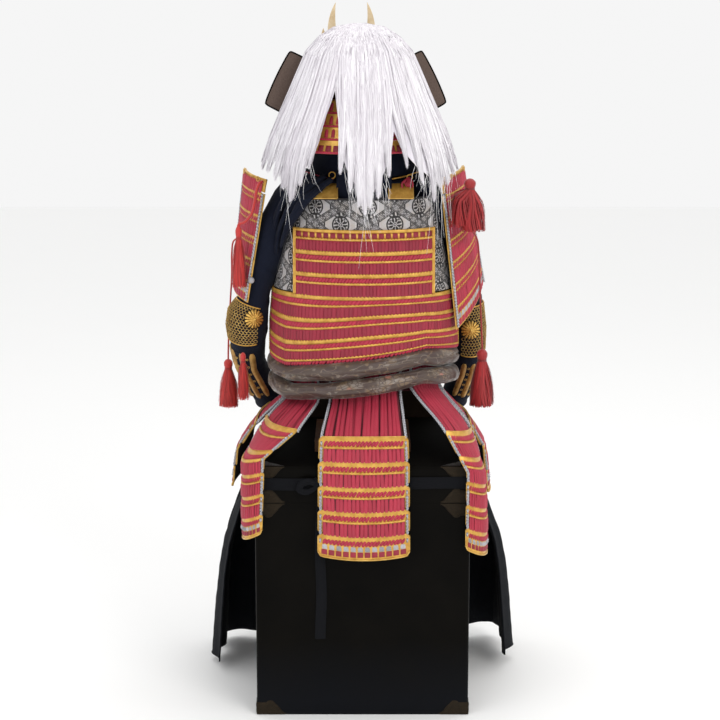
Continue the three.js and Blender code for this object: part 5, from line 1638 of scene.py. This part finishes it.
def make_neck_guard():
    """Four gilt lames, sparsely laced, with a row of crimson knots along the lowest one."""
    def place(s, t):
        z = HELMET["rim"] + 2 - t * 104
        low = {"half": 158, "back": 150, "front": 118}
        half, back, front = (lerp(HELMET[reach], low[reach], t) for reach in low)
        return head_oval(lerp(-112, 112, s), z, half, back, front, 2.5)

    sheet = Surface(place)
    part = Part("neck_guard", RED, RED_KNOT, GILT, INNER)
    span = {"s0": 0.01, "s1": 0.99}
    for i in range(4):
        t0, t1 = i / 4, (i + 1) / 4
        s, t = np.meshgrid(np.linspace(0, 1, 41), np.linspace(t0, t1 - 0.004, 3))
        shell(part, sheet.at(s, t, 3.0 * (t1 - t) * 4 + 0.2), 2.4, GILT, INNER, GILT)
        edge_line(part, sheet, t1 - 0.05, t1 - 0.005, RED, tooth=1.0, out=2.4, **span)
        if i == 3:
            squares(part, sheet, 0.84, 0.95, RED_KNOT, fill=0.7, out=2.6, **span)
        else:
            pulls(part, sheet, t0 + 0.03, t1 - 0.06, RED, pitch=15.0, gap=0.5, out=2.2, out_end=1.4, **span)
    part.make()


def make_turnback(side):
    """The ear-shaped turned-back end of the neck guard: leather-faced, with a lacquered rim."""
    sign = 1 if side == "right" else -1
    corners = np.array([(100, 1340), (138, 1358), (146, 1226), (191, 1250)], float)

    def place(s, t):
        s, t = np.broadcast_arrays(np.asarray(s, float), np.asarray(t, float))
        left = lerp(corners[0], corners[2], t[..., None])
        right = lerp(corners[1], corners[3], t[..., None])
        x, z = np.moveaxis(lerp(left, right, s[..., None]), -1, 0)
        x = x + 3.5 * np.sin(math.pi * np.clip(t, 0, 1)) * (s - 0.2)
        return xyz(x, 51 - 3.0 * (4 * s * (1 - s)), z)

    sheet = Surface(place)
    part = Part(f"turnback_{side}", LEATHER, STEEL_BROWN, BLACK)
    u, w = even(21, 31)
    round_u = 0.025 * np.abs(2 * w - 1) ** 12 * (1 - 2 * u)
    round_w = 0.014 * np.abs(2 * u - 1) ** 10 * (1 - 2 * w)
    skin = sheet.place(u + round_u, w + round_w)
    grid = skin if sign > 0 else skin[:, ::-1] * np.array([-1, 1, 1])
    pattern = xyz(u * 42, w * 115, 0)
    shell(part, on_head(grid), 3.2, LEATHER, STEEL_BROWN, BLACK, pattern)
    loop = np.concatenate([grid[0], grid[1:, -1], grid[-1, -2::-1], grid[-2::-1, 0]])
    tube(part, on_head(loop), 1.6, 8, BLACK, ends=False)
    part.make()


def make_crest():
    """A gilt crescent with a leaf point at each side, cut from plate and softened at its edges."""
    right = []

    def bend(a, b, c, n=12):
        for k in np.linspace(0, 1, n, endpoint=False):
            right.append([(1 - k) ** 2 * a[i] + 2 * k * (1 - k) * b[i] + k**2 * c[i] for i in (0, 1)])

    bend((0, 1284), (56, 1290), (66, 1350))
    bend((66, 1350), (68, 1380), (60, 1401))
    bend((60, 1401), (55, 1388), (50, 1384), 6)
    bend((50, 1384), (52, 1424), (34, 1454))
    bend((34, 1454), (38, 1400), (26, 1372))
    bend((26, 1372), (14, 1352), (0, 1350), 8)
    right = np.array(right)
    left = (right * [-1, 1])[::-1]
    outline = np.concatenate([right, [[0, 1350]], left[:-1]])
    curve_data = bpy.data.curves.new("crest_outline", "CURVE")
    curve_data.dimensions = "2D"
    curve_data.fill_mode = "BOTH"
    line = curve_data.splines.new("POLY")
    line.points.add(len(outline) - 1)
    for place, (x, z) in zip(line.points, outline):
        place.co = (x * MM, z * MM, 0, 1)
    line.use_cyclic_u = True
    curve_data.extrude = 0.0009
    curve_data.bevel_depth = 0.0006
    curve_data.bevel_resolution = 2
    rough = put("crest_rough", curve_data)
    mesh = bpy.data.meshes.new_from_object(rough.evaluated_get(bpy.context.evaluated_depsgraph_get()))
    bpy.data.objects.remove(rough)
    points = np.array([v.co for v in mesh.vertices]) / MM
    y = HELMET["front"] + 8 - 1.5 + points[:, 2] - (np.abs(points[:, 0]) / 68) ** 2 * 2
    moved = on_head(xyz(points[:, 0], y, points[:, 1])) * MM
    mesh.vertices.foreach_set("co", moved.reshape(-1))
    mesh.materials.clear()
    mesh.materials.append(GILT_BRIGHT)
    mesh.materials.append(GILT_PALE)
    high = [int(face.center[2] > 1.386) for face in mesh.polygons]
    mesh.polygons.foreach_set("material_index", high)
    piece = put("crest_gilt", mesh)
    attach(piece, "root")
    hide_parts("crest")


make_bowl()
make_peak()
make_neck_guard()
make_turnback("left")
make_turnback("right")
make_crest()

# ---------------------------------------------------------------- hair
# The plan of the hair at each height: its half width, and its reach at the back and in front.
HAIR_REACH = [
    (1416, 8, 10, 8), (1408, 52, 62, 44), (1390, 82, 98, 60), (1360, 110, 132, 72), (1310, 132, 156, 80),
    (1258, 154, 170, 86), (1205, 178, 178, 90), (1155, 197, 183, 92), (1100, 212, 186, 92),
    (1040, 214, 187, 92),
]
# How low the hair ends at each turn.
HAIR_HEM = [
    (-112, 1174), (-98, 1138), (-84, 1124), (-66, 1112), (-54, 1096), (-45, 1078), (-38, 1098), (-34, 1132),
    (-32, 1190), (-30, 1270), (-26, 1250), (-21, 1180), (-18, 1130), (-13, 1090), (-8, 1062), (-3, 1042),
    (2, 1048), (7, 1078), (13, 1120), (17, 1170), (21, 1130), (30, 1096), (40, 1070), (52, 1090), (66, 1108),
    (82, 1120), (98, 1134), (112, 1174),
]
# The locks that the hair falls in: each one's turn at the crown and at its tip, its tip's height, and
# half its width at the crown.
LOCKS = np.array([
    (-106, -108, 1160, 8), (-94, -96, 1132, 8), (-82, -83, 1122, 8), (-70, -71, 1114, 7),
    (-60, -60, 1104, 6), (-51, -52, 1092, 6), (-44, -46, 1064, 5), (-37, -40, 1092, 5),
    (-32, -36, 1128, 4), (-26, -17, 1120, 4),
    (-20, -11, 1086, 4), (-13, -6, 1058, 5), (-6, -3, 1040, 5), (2, 0, 1052, 5), (9, 5, 1078, 5),
    (15, 11, 1116, 4), (21, 22, 1128, 4), (28, 31, 1096, 5), (36, 39, 1062, 5), (44, 45, 1082, 6),
    (53, 53, 1092, 6), (63, 63, 1106, 7), (75, 75, 1118, 8), (88, 88, 1124, 8), (100, 101, 1138, 8),
    (108, 109, 1165, 6),
], float)


def hair_point(turn, z, out):
    return head_oval(turn, z, *table(HAIR_REACH, z), out)


def make_hair_base():
    """The pale inside of the hair, which only shows through its gaps."""
    part = Part("hair_base", HAIR_BASE)
    s, t = even(121, 33)
    turn = lerp(-112, 112, s)
    top, tuck = 1412, 40
    z = lerp(top, table(HAIR_HEM, turn)[0] + tuck, t)
    flow = 1.1 * np.sin(turn * 0.9 + 2.2 * np.sin(t * 4)) * np.sin(t * math.pi)
    points = hair_point(turn, z, -6.6 + flow)
    pattern = xyz(s * 400, t * 300, 0.55 + 0.3 * np.sin(s * 190 + 5 * np.sin(t * 5)))
    shell(part, points, 2.0, HAIR_BASE, pattern=pattern)
    return part.make(stands_for=None)


def drift_of(turn, w, seed):
    """The slow waves that neighbouring strands share, in degrees of turn."""
    a = np.sin(turn * 0.11 + w * 3.1 + seed) * 2.0
    b = np.sin(turn * 0.27 - w * 4.6 + seed * 2) * 1.1
    return (a + b) * smooth(w * 1.3)


def make_hair(name, turn0, turn1, count, seed):
    """Strands that fall from the crown in broad overlapping locks, each drawn in towards its tip."""
    random = np.random.default_rng(seed)
    mine = LOCKS[(LOCKS[:, 0] > turn0) & (LOCKS[:, 0] < turn1)]
    moods = np.random.default_rng(77).normal(0, 1, (len(LOCKS), 4))
    own = moods[np.searchsorted(LOCKS[:, 0], mine[:, 0])]
    share = mine[:, 3] / mine[:, 3].sum()
    pick = random.choice(len(mine), count, p=share)
    crown, end, low, half = mine[pick].T
    mood = own[pick]
    q = np.clip(random.normal(0, 0.62, count), -1.45, 1.45)
    w = np.linspace(0, 1, 8) ** 1.35
    over_back = np.abs(end) < 42
    draw = np.where(over_back, 0.24, 0.5)[:, None]
    hold = lerp(1.0, draw, smooth((w - 0.42) / 0.58))
    split = 0.22 * np.sin(q * 7 + mood[:, 0] * 3)[:, None] * smooth((w - 0.6) / 0.4)
    sway = random.normal(0, 0.5, (count, 1))
    wander = sway * np.sin(w * math.pi * random.uniform(0.6, 1.8, (count, 1)) + 1)
    turn = (
        lerp(crown[:, None], end[:, None], smooth(w * 1.05))
        + (q[:, None] + split) * half[:, None] * 1.15 * hold
        + drift_of(end[:, None], w, 1.0) * 0.55 * (1 - w * 0.6) + wander * smooth(w * 2)
    )
    short = random.exponential(np.where(over_back, 11.0, 7.0), count)
    short = short + np.where(over_back, 26.0, 19.0) * np.abs(q) ** 1.5
    tip = np.maximum(low + mood[:, 1] * 3 + short, 1038)
    z = lerp(random.uniform(1398, 1415, count)[:, None], tip[:, None], w**0.96)
    round_lock = np.clip(1 - (np.abs(q[:, None]) / 1.3) ** 2, -0.3, 1) * smooth((w - 0.35) / 0.5)
    billow = 0.8 * np.sin(end[:, None] * 0.33 + w * 5 + mood[:, 2:3]) * np.sin(w * math.pi)
    depth = random.uniform(-4.6, -0.4, (count, 1))
    points = hair_point(turn, z, np.clip(depth + 1.7 * round_lock + billow, -9, 2.6))
    ahead = unit(np.gradient(points, axis=1))
    outward = unit(points - on_head(xyz(0, 0, z - 60)))
    spin = random.normal(0, 0.75, (count, 1, 1))
    side = unit(np.cross(ahead, outward) + outward * spin)
    wide = random.uniform(0.5, 1.1, (count, 1)) * (1 - 0.85 * w**3)
    strand = ribbons(points, side, wide[..., None])
    shadow = 0.16 * (depth + 0.4) / 4.2
    # Over the middle locks the strands go darker and lighter in streaks: painted shade between the locks.
    streak = 0.2 * np.sin(q * 9 + mood[:, 3] * 4) * np.exp(-((end / 50) ** 2))
    # Strands at a lock's edges get a lower tone than at its middle: painted shade across the rounded lock.
    tone = 0.50 + 0.09 * mood[:, 0:1] + streak[:, None] + shadow + 0.08 * round_lock
    tone = np.clip(tone + random.normal(0, 0.15, (count, 1)), 0, 1)[..., None]
    part = Part(name, HAIR)
    part.grids(strand, HAIR, np.broadcast_to(xyz(0, (w * 300)[:, None], tone), strand.shape))
    return part.make(stands_for="hair" if name == "hair_left" else None)


make_hair("hair_left", -112, -29, 6400, 21)
make_hair("hair_middle", -29, 18, 4600, 22)
make_hair("hair_right", 18, 112, 6400, 23)
make_hair_base()


def make_flyaways():
    """Loose hairs that hang over the back and the shoulders."""
    random = np.random.default_rng(31)
    part = Part("hair_loose", HAIR)
    for _ in range(110):
        turn = random.choice([-52, -45, -4, 2, 38, 46, 56]) + random.normal(0, 5)
        hem = float(table(HAIR_HEM, turn)[0])
        start = hair_point(np.array(turn), np.array(hem + random.uniform(15, 60)), -2.0)
        drop = random.uniform(30, 80) if random.random() < 0.85 else random.uniform(90, 150)
        sway = random.normal(0, 11)
        w = np.linspace(0, 1, 12)
        x = start[0] + sway * w**1.6 + random.normal(0, 4) * np.sin(w * 3.1)
        y = np.maximum(start[1] + 10 * w, start[1]) + 2 * np.sin(w * 6)
        y = np.where(np.abs(x) < 150, np.minimum(y, -140), y)
        strand = ribbons(xyz(x, y, start[2] - drop * w), RIGHT, 0.32 * (1 - 0.7 * w)[:, None])
        part.grids(strand[None], HAIR, np.broadcast_to(0.9 * UP, strand.shape))
    part.make(stands_for=None)


make_flyaways()

# ---------------------------------------------------------------- thigh cloth
CHEST_SIDE, CHEST_TOP, LID_BOTTOM = 440, 533.3, 456.3
# The thigh cloth hangs round the chest: its upper edge, and the plan of its bend at that edge.
FLAP = {"top": 485.5, "front_x": 12, "side": 228, "front": 229, "corner": 16}
# Down the cloth: the share of its drop, how far it stands off in front and beside the chest, where
# its free edge is, and how deep its folds are.
FLAP_LEVELS = [
    (0.0, 0, 0, 24, 0), (0.08, 3, 10, 22, 2), (0.23, 8, 42, 20, 5), (0.4, 14, 68, 24, 7),
    (0.55, 20, 80, 28, 8), (0.78, 28, 90, 36, 9), (1.0, 36, 98, 44, 10),
]
FLAP_SIDES = {"left": (-1, 18, 0.0), "right": (1, 34, 0.7)}


def flap_sheet(side):
    sign, hem, phase = FLAP_SIDES[side]

    def place(s, t):
        s, t = np.broadcast_arrays(np.asarray(s, float), np.asarray(t, float))
        s = s if sign < 0 else 1 - s
        front, reach, free, fold = table(FLAP_LEVELS, t)
        x, y, r = FLAP["side"] + reach, FLAP["front"] + front, FLAP["corner"] + reach * 0.5
        first, second = x - r - FLAP["front_x"], r * math.pi / 2
        along = s * (first + second + (y - r - free))
        wave = fold * (np.sin(s * 23 + phase) + 0.5 * np.sin(s * 37 + 1)) * np.minimum(1, 6 * s)
        angle = np.clip((along - first) / r, 0, math.pi / 2)
        straight = np.minimum(along, first)
        beyond = np.maximum(along - first - second, 0)
        px = FLAP["front_x"] + straight + (r + wave) * np.sin(angle)
        py = y - r + (r + wave) * np.cos(angle) - beyond
        return xyz(sign * px, py, lerp(FLAP["top"], hem, t))

    return Surface(place)


def make_flap(side):
    sheet = flap_sheet(side)
    sign = FLAP_SIDES[side][0]
    part = Part(f"thigh_cloth_{side}", NAVY_DARK)
    s, t = even(105, 57)
    random = np.random.default_rng(12 + sign)
    folds = 0 * s
    for _ in range(15):
        start = random.uniform(0.02, 0.98)
        top = random.uniform(0, 0.4)
        folds = folds + crease(
            s, t, start, top, start + random.normal(0, 0.05), min(top + random.uniform(0.4, 0.9), 1.05),
            random.uniform(0.010, 0.022), random.uniform(1.5, 4.5),
        )
    gathers = 1.6 * np.sin(s * 150 + 3 * np.sin(s * 9)) * np.exp(-t * 16)
    crinkle = 0.5 * np.sin(s * 61 + t * 34) * np.sin(t * 47 - s * 23)
    lift = np.clip(folds + gathers + crinkle, -5, 5) - 1.0
    points = sheet.at(s, t, lift * np.clip(t * 18 + 0.15, 0, 1))
    shell(part, points, 1.7, NAVY_DARK, pattern=xyz(s * sheet.across(0.6), t * sheet.height, 0))
    for edge, radius in ((points[-1], 1.5), (points[:, 0], 1.4), (points[:, -1], 1.4)):
        tube(part, edge, radius, 6, NAVY_DARK)
    piece = part.make()
    width, height = float(run_of(points[-1])[-1]) * MM, sheet.height * MM
    min(surface_area(points) * MM**2, width * height)


def surface_area(points):
    """The area of a grid's surface, in square millimetres."""
    a = points[1:, :-1] - points[:-1, :-1]
    b = points[:-1, 1:] - points[:-1, :-1]
    return float(np.linalg.norm(np.cross(a, b), axis=-1).sum())


make_flap("left")
make_flap("right")


# ---------------------------------------------------------------- ties round the chest
def rounded_square(half, corner, count=200):
    """A closed path round the chest, anticlockwise from above, starting in the middle of the back."""
    straight = 2 * (half - corner)
    quarter = corner * math.pi / 2
    total = 4 * (straight + quarter)
    places = (np.linspace(0, total, count, endpoint=False) + straight / 2) % total
    points = []
    for place in places:
        side, along = divmod(place, straight + quarter)
        if along < straight:
            x, y = -(half - corner) + along, -half
        else:
            a = (along - straight) / corner
            x, y = half - corner + corner * math.sin(a), -half + corner - corner * math.cos(a)
        points.append(spun(np.array([x, y, 0.0]), side * math.pi / 2))
    return np.array(points)


def make_tie_band():
    """The cloth band tied round the lid's side, a little crushed."""
    around, wide, top = 1760, 25, 510
    ring = rounded_square(CHEST_SIDE / 2 + 3.0, 10, 260)
    ring = np.concatenate([ring, ring[:1]])
    u = np.linspace(0, 1, 9)[:, None]
    run = np.linspace(0, around, len(ring))
    crush = np.sin(u * 11 + run * 0.02) * np.sin(run * 0.013 + 1) + 0.5 * np.sin(u * 23 + run * 0.05)
    z = top - wide * u + 1.6 * np.sin(run * 0.011) + 0.7 * np.sin(run * 0.037 + u)
    points = ring + unit(ring) * np.clip(crush, -0.6, 1.4)[..., None]
    part = Part("tie_band", NAVY_TIE)
    shell(part, points + z[..., None] * UP, 1.6, NAVY_TIE, pattern=xyz(run, u * wide, 0))
    piece = part.make()
    merge_seams(piece)


def make_tie_tail():
    """The knot of the tie at the back, its bow, and the end that hangs down the chest."""
    part = Part("tie_tail", NAVY_TIE)
    tail = [
        (-86 + 1.5 * math.sin(z * 0.03), -222.2 - 1.2 * math.sin((482 - z) * 0.012), z)
        for z in np.linspace(482, 166, 40)
    ]
    fold_band(part, tail, BACK, [17, 20, 21, 22, 22], NAVY_TIE, thick=1.2, creases=1, pull=0.8, seed=4)
    knot = spline([(-100, -226, 507), (-92, -232, 500), (-84, -233, 492), (-78, -227, 483)], 6)
    fold_band(part, knot, BACK, [14, 20, 20, 14], NAVY_TIE, thick=3, seed=6, tile=30)
    bows = {
        10: [(-92, -230, 496), (-108, -236, 505), (-124, -236, 500), (-128, -233, 487), (-114, -232, 482),
             (-94, -230, 491)],
        9: [(-84, -230, 496), (-70, -235, 503), (-56, -236, 497), (-53, -232, 484), (-66, -231, 480),
            (-84, -229, 490)],
    }
    for start, points in bows.items():
        widths = [start, 13, 14, 13, 12, 9]
        fold_band(part, spline(points, 6), BACK, widths, NAVY_TIE, thick=1.4, creases=1, seed=8, tile=60)
    piece = part.make()


make_tie_band()
make_tie_tail()


# ---------------------------------------------------------------- chest and stand
def dress(node, material, bevel):
    """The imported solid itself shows, with softened edges and its own material."""
    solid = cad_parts[node]
    solid.data.materials.clear()
    solid.data.materials.append(material)
    if bevel:
        soft = solid.modifiers.new("soft_edges", "BEVEL")
        soft.width = bevel * MM
        soft.segments = 3
        soft.limit_method = "ANGLE"
        soft.angle_limit = math.radians(50)


dress("chest_body", BLACK, 1.6)
dress("chest_lid", BLACK, 2.0)
dress("stand_frame", WOOD, 1.5)
dress("stand_head", WOOD, 0)


def fitting_height(u, length, high):
    """A corner plate's free edge: straight from the corner, then three cloud lobes to its tip."""
    x = u / length
    body_part = high * np.clip(1.25 - 1.15 * smooth((x - 0.42) / 0.58), 0.0, 1.0)
    lobes = 1 + 0.16 * np.abs(np.sin(math.pi * (x * 3.0 + 0.1)))
    return np.where(x > 0.36, body_part * lobes, high)


def make_fittings(name, edges):
    """Chased bronze plates on the corners. edges holds (height of the edge, +1 up or -1 down)."""
    part = Part(name, BRONZE)
    length, high = 62.0, 26.0
    half = CHEST_SIDE / 2
    u, v = np.linspace(-2.0, length, 40), np.linspace(0, 1, 7)[:, None]
    along = np.maximum(u, 0)
    edge = fitting_height(along, length, high)
    rise = 1.3 * np.clip(np.minimum(1 - v, 1 - along / length) * 14, 0, 1) + 0.15
    rise = rise + 0.7 * np.exp(-(((1 - v) - 0.12) / 0.06) ** 2)
    x = half + 0.9 - along - 0.6 * (u < 0)
    for z_edge, sense in edges:
        for corner in range(4):
            for sign in (-1, 1):
                points = xyz(sign * x, -half - rise, z_edge + sense * (v * edge + 0.3))
                if (sign > 0) != (sense > 0):
                    points = points[:, ::-1]
                part.grids(spun(points, corner * math.pi / 2)[None], BRONZE)
    part.make(stands_for=None)


make_fittings("lid_fittings", ((CHEST_TOP, -1), (LID_BOTTOM + 0.4, 1)))
make_fittings("body_fittings", ((455.6, -1), (0.4, 1)))


def make_lid_top_fittings():
    """The same plates' upper flanges, two at each corner of the lid's top."""
    part = Part("lid_top_fittings", BRONZE)
    length, high = 60.0, 24.0
    half = CHEST_SIDE / 2 - 1
    u, v = even(30, 8)
    x, y = half - u * length, v * fitting_height(u * length, length, high) - half
    z = CHEST_TOP + 0.9 * np.clip(np.minimum(1 - v, 1 - u) * 12, 0, 1) + 0.1
    for corner in range(4):
        for points in (xyz(x, y, z)[:, ::-1], xyz(-y, -x, z)):
            part.grids(spun(points, corner * math.pi / 2)[None, ::-1], BRONZE)
    part.make(stands_for=None)


make_lid_top_fittings()


# ---------------------------------------------------------------- tassels and cords
TASSELS = {
    "tassel_left_low": (-291, 78, 697, 590, 21, TASSEL_LEFT),
    "tassel_left_inner": (-252, -33, 733, 630, 13, TASSEL_LEFT),
    "tassel_left_high": (-256, -58, 1004, 874, 15, TASSEL_LEFT),
    "tassel_right_low": (253, -20, 738, 614, 25, TASSEL_RIGHT),
    "tassel_right_high": (220, -76, 1104, 994, 26, TASSEL_RIGHT),
}


def make_tassel(name, x, y, top, bottom, radius, silk_material, seed, lean=0.0):
    """A silk tassel: a wound head, a tied neck and a skirt of loose threads."""
    random = np.random.default_rng(seed)
    part = Part(name, silk_material)
    length = top - bottom
    head = 0.2 * length
    count = int(520 * (radius / 20) ** 1.3)
    angle = random.uniform(0, 2 * math.pi, count)[:, None]
    depth = np.sqrt(random.uniform(0.06, 1, count))[:, None]
    w = np.linspace(0, 1, 6)[None, :]
    profile = np.interp(w, [0, 0.12, 0.34, 0.62, 1.0], [0.36, 0.52, 0.78, 0.97, 1.06])
    reach = radius * profile * depth + random.normal(0, 1.3, (count, 1)) * np.sin(w * 4)
    end = bottom + random.exponential(6.5, count)[:, None] + 1.0
    z = lerp(top - head, end, w)
    spin = angle + 0.15 * np.sin(w * 5 + angle * 3) + random.normal(0, 0.05, (count, 1)) * w
    points = xyz(x + reach * np.cos(spin), y + reach * np.sin(spin), z)
    lobe = np.where(random.random((count, 1)) < 0.4, -1.0, 0.35) * lean * smooth(w * 2.5)
    points[..., 0] += lobe
    points[..., 2] -= 0.5 * np.minimum(lobe, 0)
    away = xyz(np.cos(spin), np.sin(spin), 0)
    side = unit(np.cross(np.gradient(points, axis=1), away) + away * random.normal(0, 0.5, (count, 1, 1)))
    wide = random.uniform(0.55, 0.95, (count, 1, 1)) * radius / 20
    # Threads nearer the middle are darker: painted shade inside the tassel.
    tone = random.random((count, 1, 1)) * 0.8 + 0.2 * depth[..., None] + np.zeros((count, 6, 2))
    part.grids(ribbons(points, side, wide), silk_material, xyz(0, (w * length)[..., None], tone))

    def lathe(profile_points, grooves, groove_depth):
        """A turned shape from radius and height pairs, grooved like bundled threads."""
        a = bearings(36)
        r, z, _ = spline([(r, h, 0) for r, h in profile_points], 4).T[..., None]
        r = r + groove_depth * np.sin(a * grooves)
        surface = xyz(x + r * np.cos(a), y + r * np.sin(a), z)
        part.grids(surface[None], silk_material, xyz(a * 10, z, 0.6), closed=True)

    neck = top - head
    lathe([
        (0.2, top - 0.5), (radius * 0.22, top - 2), (radius * 0.43, top - head * 0.34),
        (radius * 0.45, top - head * 0.6), (radius * 0.34, neck),
    ], 24, 0.35)
    for k in (-1, 0, 1):
        loop = hoop((x, y, neck + 1.6 * k), RIGHT, -BACK, radius * 0.36, 25)
        tube(part, loop, 0.95, 6, silk_material, ends=False)
    lathe([
        (radius * 0.34, neck), (radius * 0.42, neck - length * 0.1), (radius * 0.62, neck - length * 0.3),
        (radius * 0.8, neck - length * 0.5), (radius * 0.6, bottom + 22), (0.5, bottom + 24),
    ], 17, 1.1)
    return part.make()


tassels = {
    name: make_tassel(name, *values, seed=40 + i, lean=18.0 if name == "tassel_right_high" else 0.0)
    for i, (name, values) in enumerate(TASSELS.items())
}

CORDS = {
    "cord_left_thick": (3.6, "tassel_left_high", TASSEL_LEFT, [
        (-205, -66, 1096), (-212, -73, 1091), (-217, -75, 1078), (-221, -73, 1056), (-228, -70, 1030),
        (-243, -64, 1012), (-255, -58, 1006), (-256, -58, 988), (-256, -58, 940)]),
    "cord_left_thin": (1.9, "tassel_left_low", TASSEL_LEFT, [
        (-267, 62, 962), (-276, 70, 954), (-280, 77, 930), (-281, 78, 880), (-285, 78, 820),
        (-289, 78, 760), (-291, 78, 699), (-291, 78, 684), (-291, 78, 650)]),
    "cord_right_thin": (1.9, "tassel_right_low", TASSEL_RIGHT, [
        (226, -46, 991.5), (233, -38, 984), (240, -27, 968), (243, -22, 945), (246, -20, 890),
        (249, -20, 820), (253, -20, 740.5), (253, -20, 722), (253, -20, 680)]),
}


def make_cord(name, radius, silk_material, points):
    """A round braided cord: a tube with plaited ridges wound both ways."""
    path = resample(spline(points, 16), radius * 0.45)
    part = Part(name, silk_material)
    angle, ring = spokes(path, 16)
    along = run_of(path)[:, None]
    pitch = radius * 2.6
    wound = along / pitch * 2 * math.pi
    weave = np.sin(angle * 4 + wound) * np.sin(angle * 4 - wound)
    reach = radius * (0.93 + 0.09 * weave)
    # The tone rises on the plait's ridges and falls in its grooves: painted highlight and shade.
    wrap(part, path, ring, reach, xyz(angle * radius, along, 0.5 + 0.3 * weave), silk_material)
    piece = part.make()
    2 * radius * MM


for name, (radius, tassel, silk_material, points) in CORDS.items():
    make_cord(name, radius, silk_material, points)

# ---------------------------------------------------------------- room
FLOOR_TINT = (0.965, 0.965, 0.96)


def make_room():
    s = Shade("studio_floor")
    tint = s.mix(s.noise(3, 3).above(0.5, 0.2) * 0.25, FLOOR_TINT, (0.95, 0.95, 0.945))
    material = s.finish(tint, s.noise(40, 3) * 0.15 + 0.6)
    mesh = bpy.data.meshes.new("studio_floor")
    reach, sunk = 9, -0.0005
    corners = [(-reach, -reach), (reach, -reach), (reach, reach), (-reach, reach)]
    mesh.from_pydata([(x, y, sunk) for x, y in corners], [], [(0, 1, 2, 3)])
    mesh.materials.append(material)
    put("studio_floor", mesh)
    world = bpy.data.worlds.new("studio")
    bpy.context.scene.world = world
    world.use_nodes = True
    world.node_tree.nodes["Background"].inputs["Color"].default_value = (1, 1, 1, 1)
    world.node_tree.nodes["Background"].inputs["Strength"].default_value = 0.92
    area_light("key", (2.2, -3.4, 3.0), (0, 0, 0.8), (1.8, 1.8), 58, (1.0, 0.98, 0.95))
    area_light("fill", (-2.8, -3.2, 2.2), (0, 0, 0.8), (2.4, 2.4), 25, (0.94, 0.96, 1.0))
    area_light("top", (0.3, 0.2, 3.6), (0, 0, 0.9), (2.0, 2.0), 20, (1.0, 0.99, 0.97))
    bpy.context.scene.view_settings.view_transform = "Standard"


make_room()
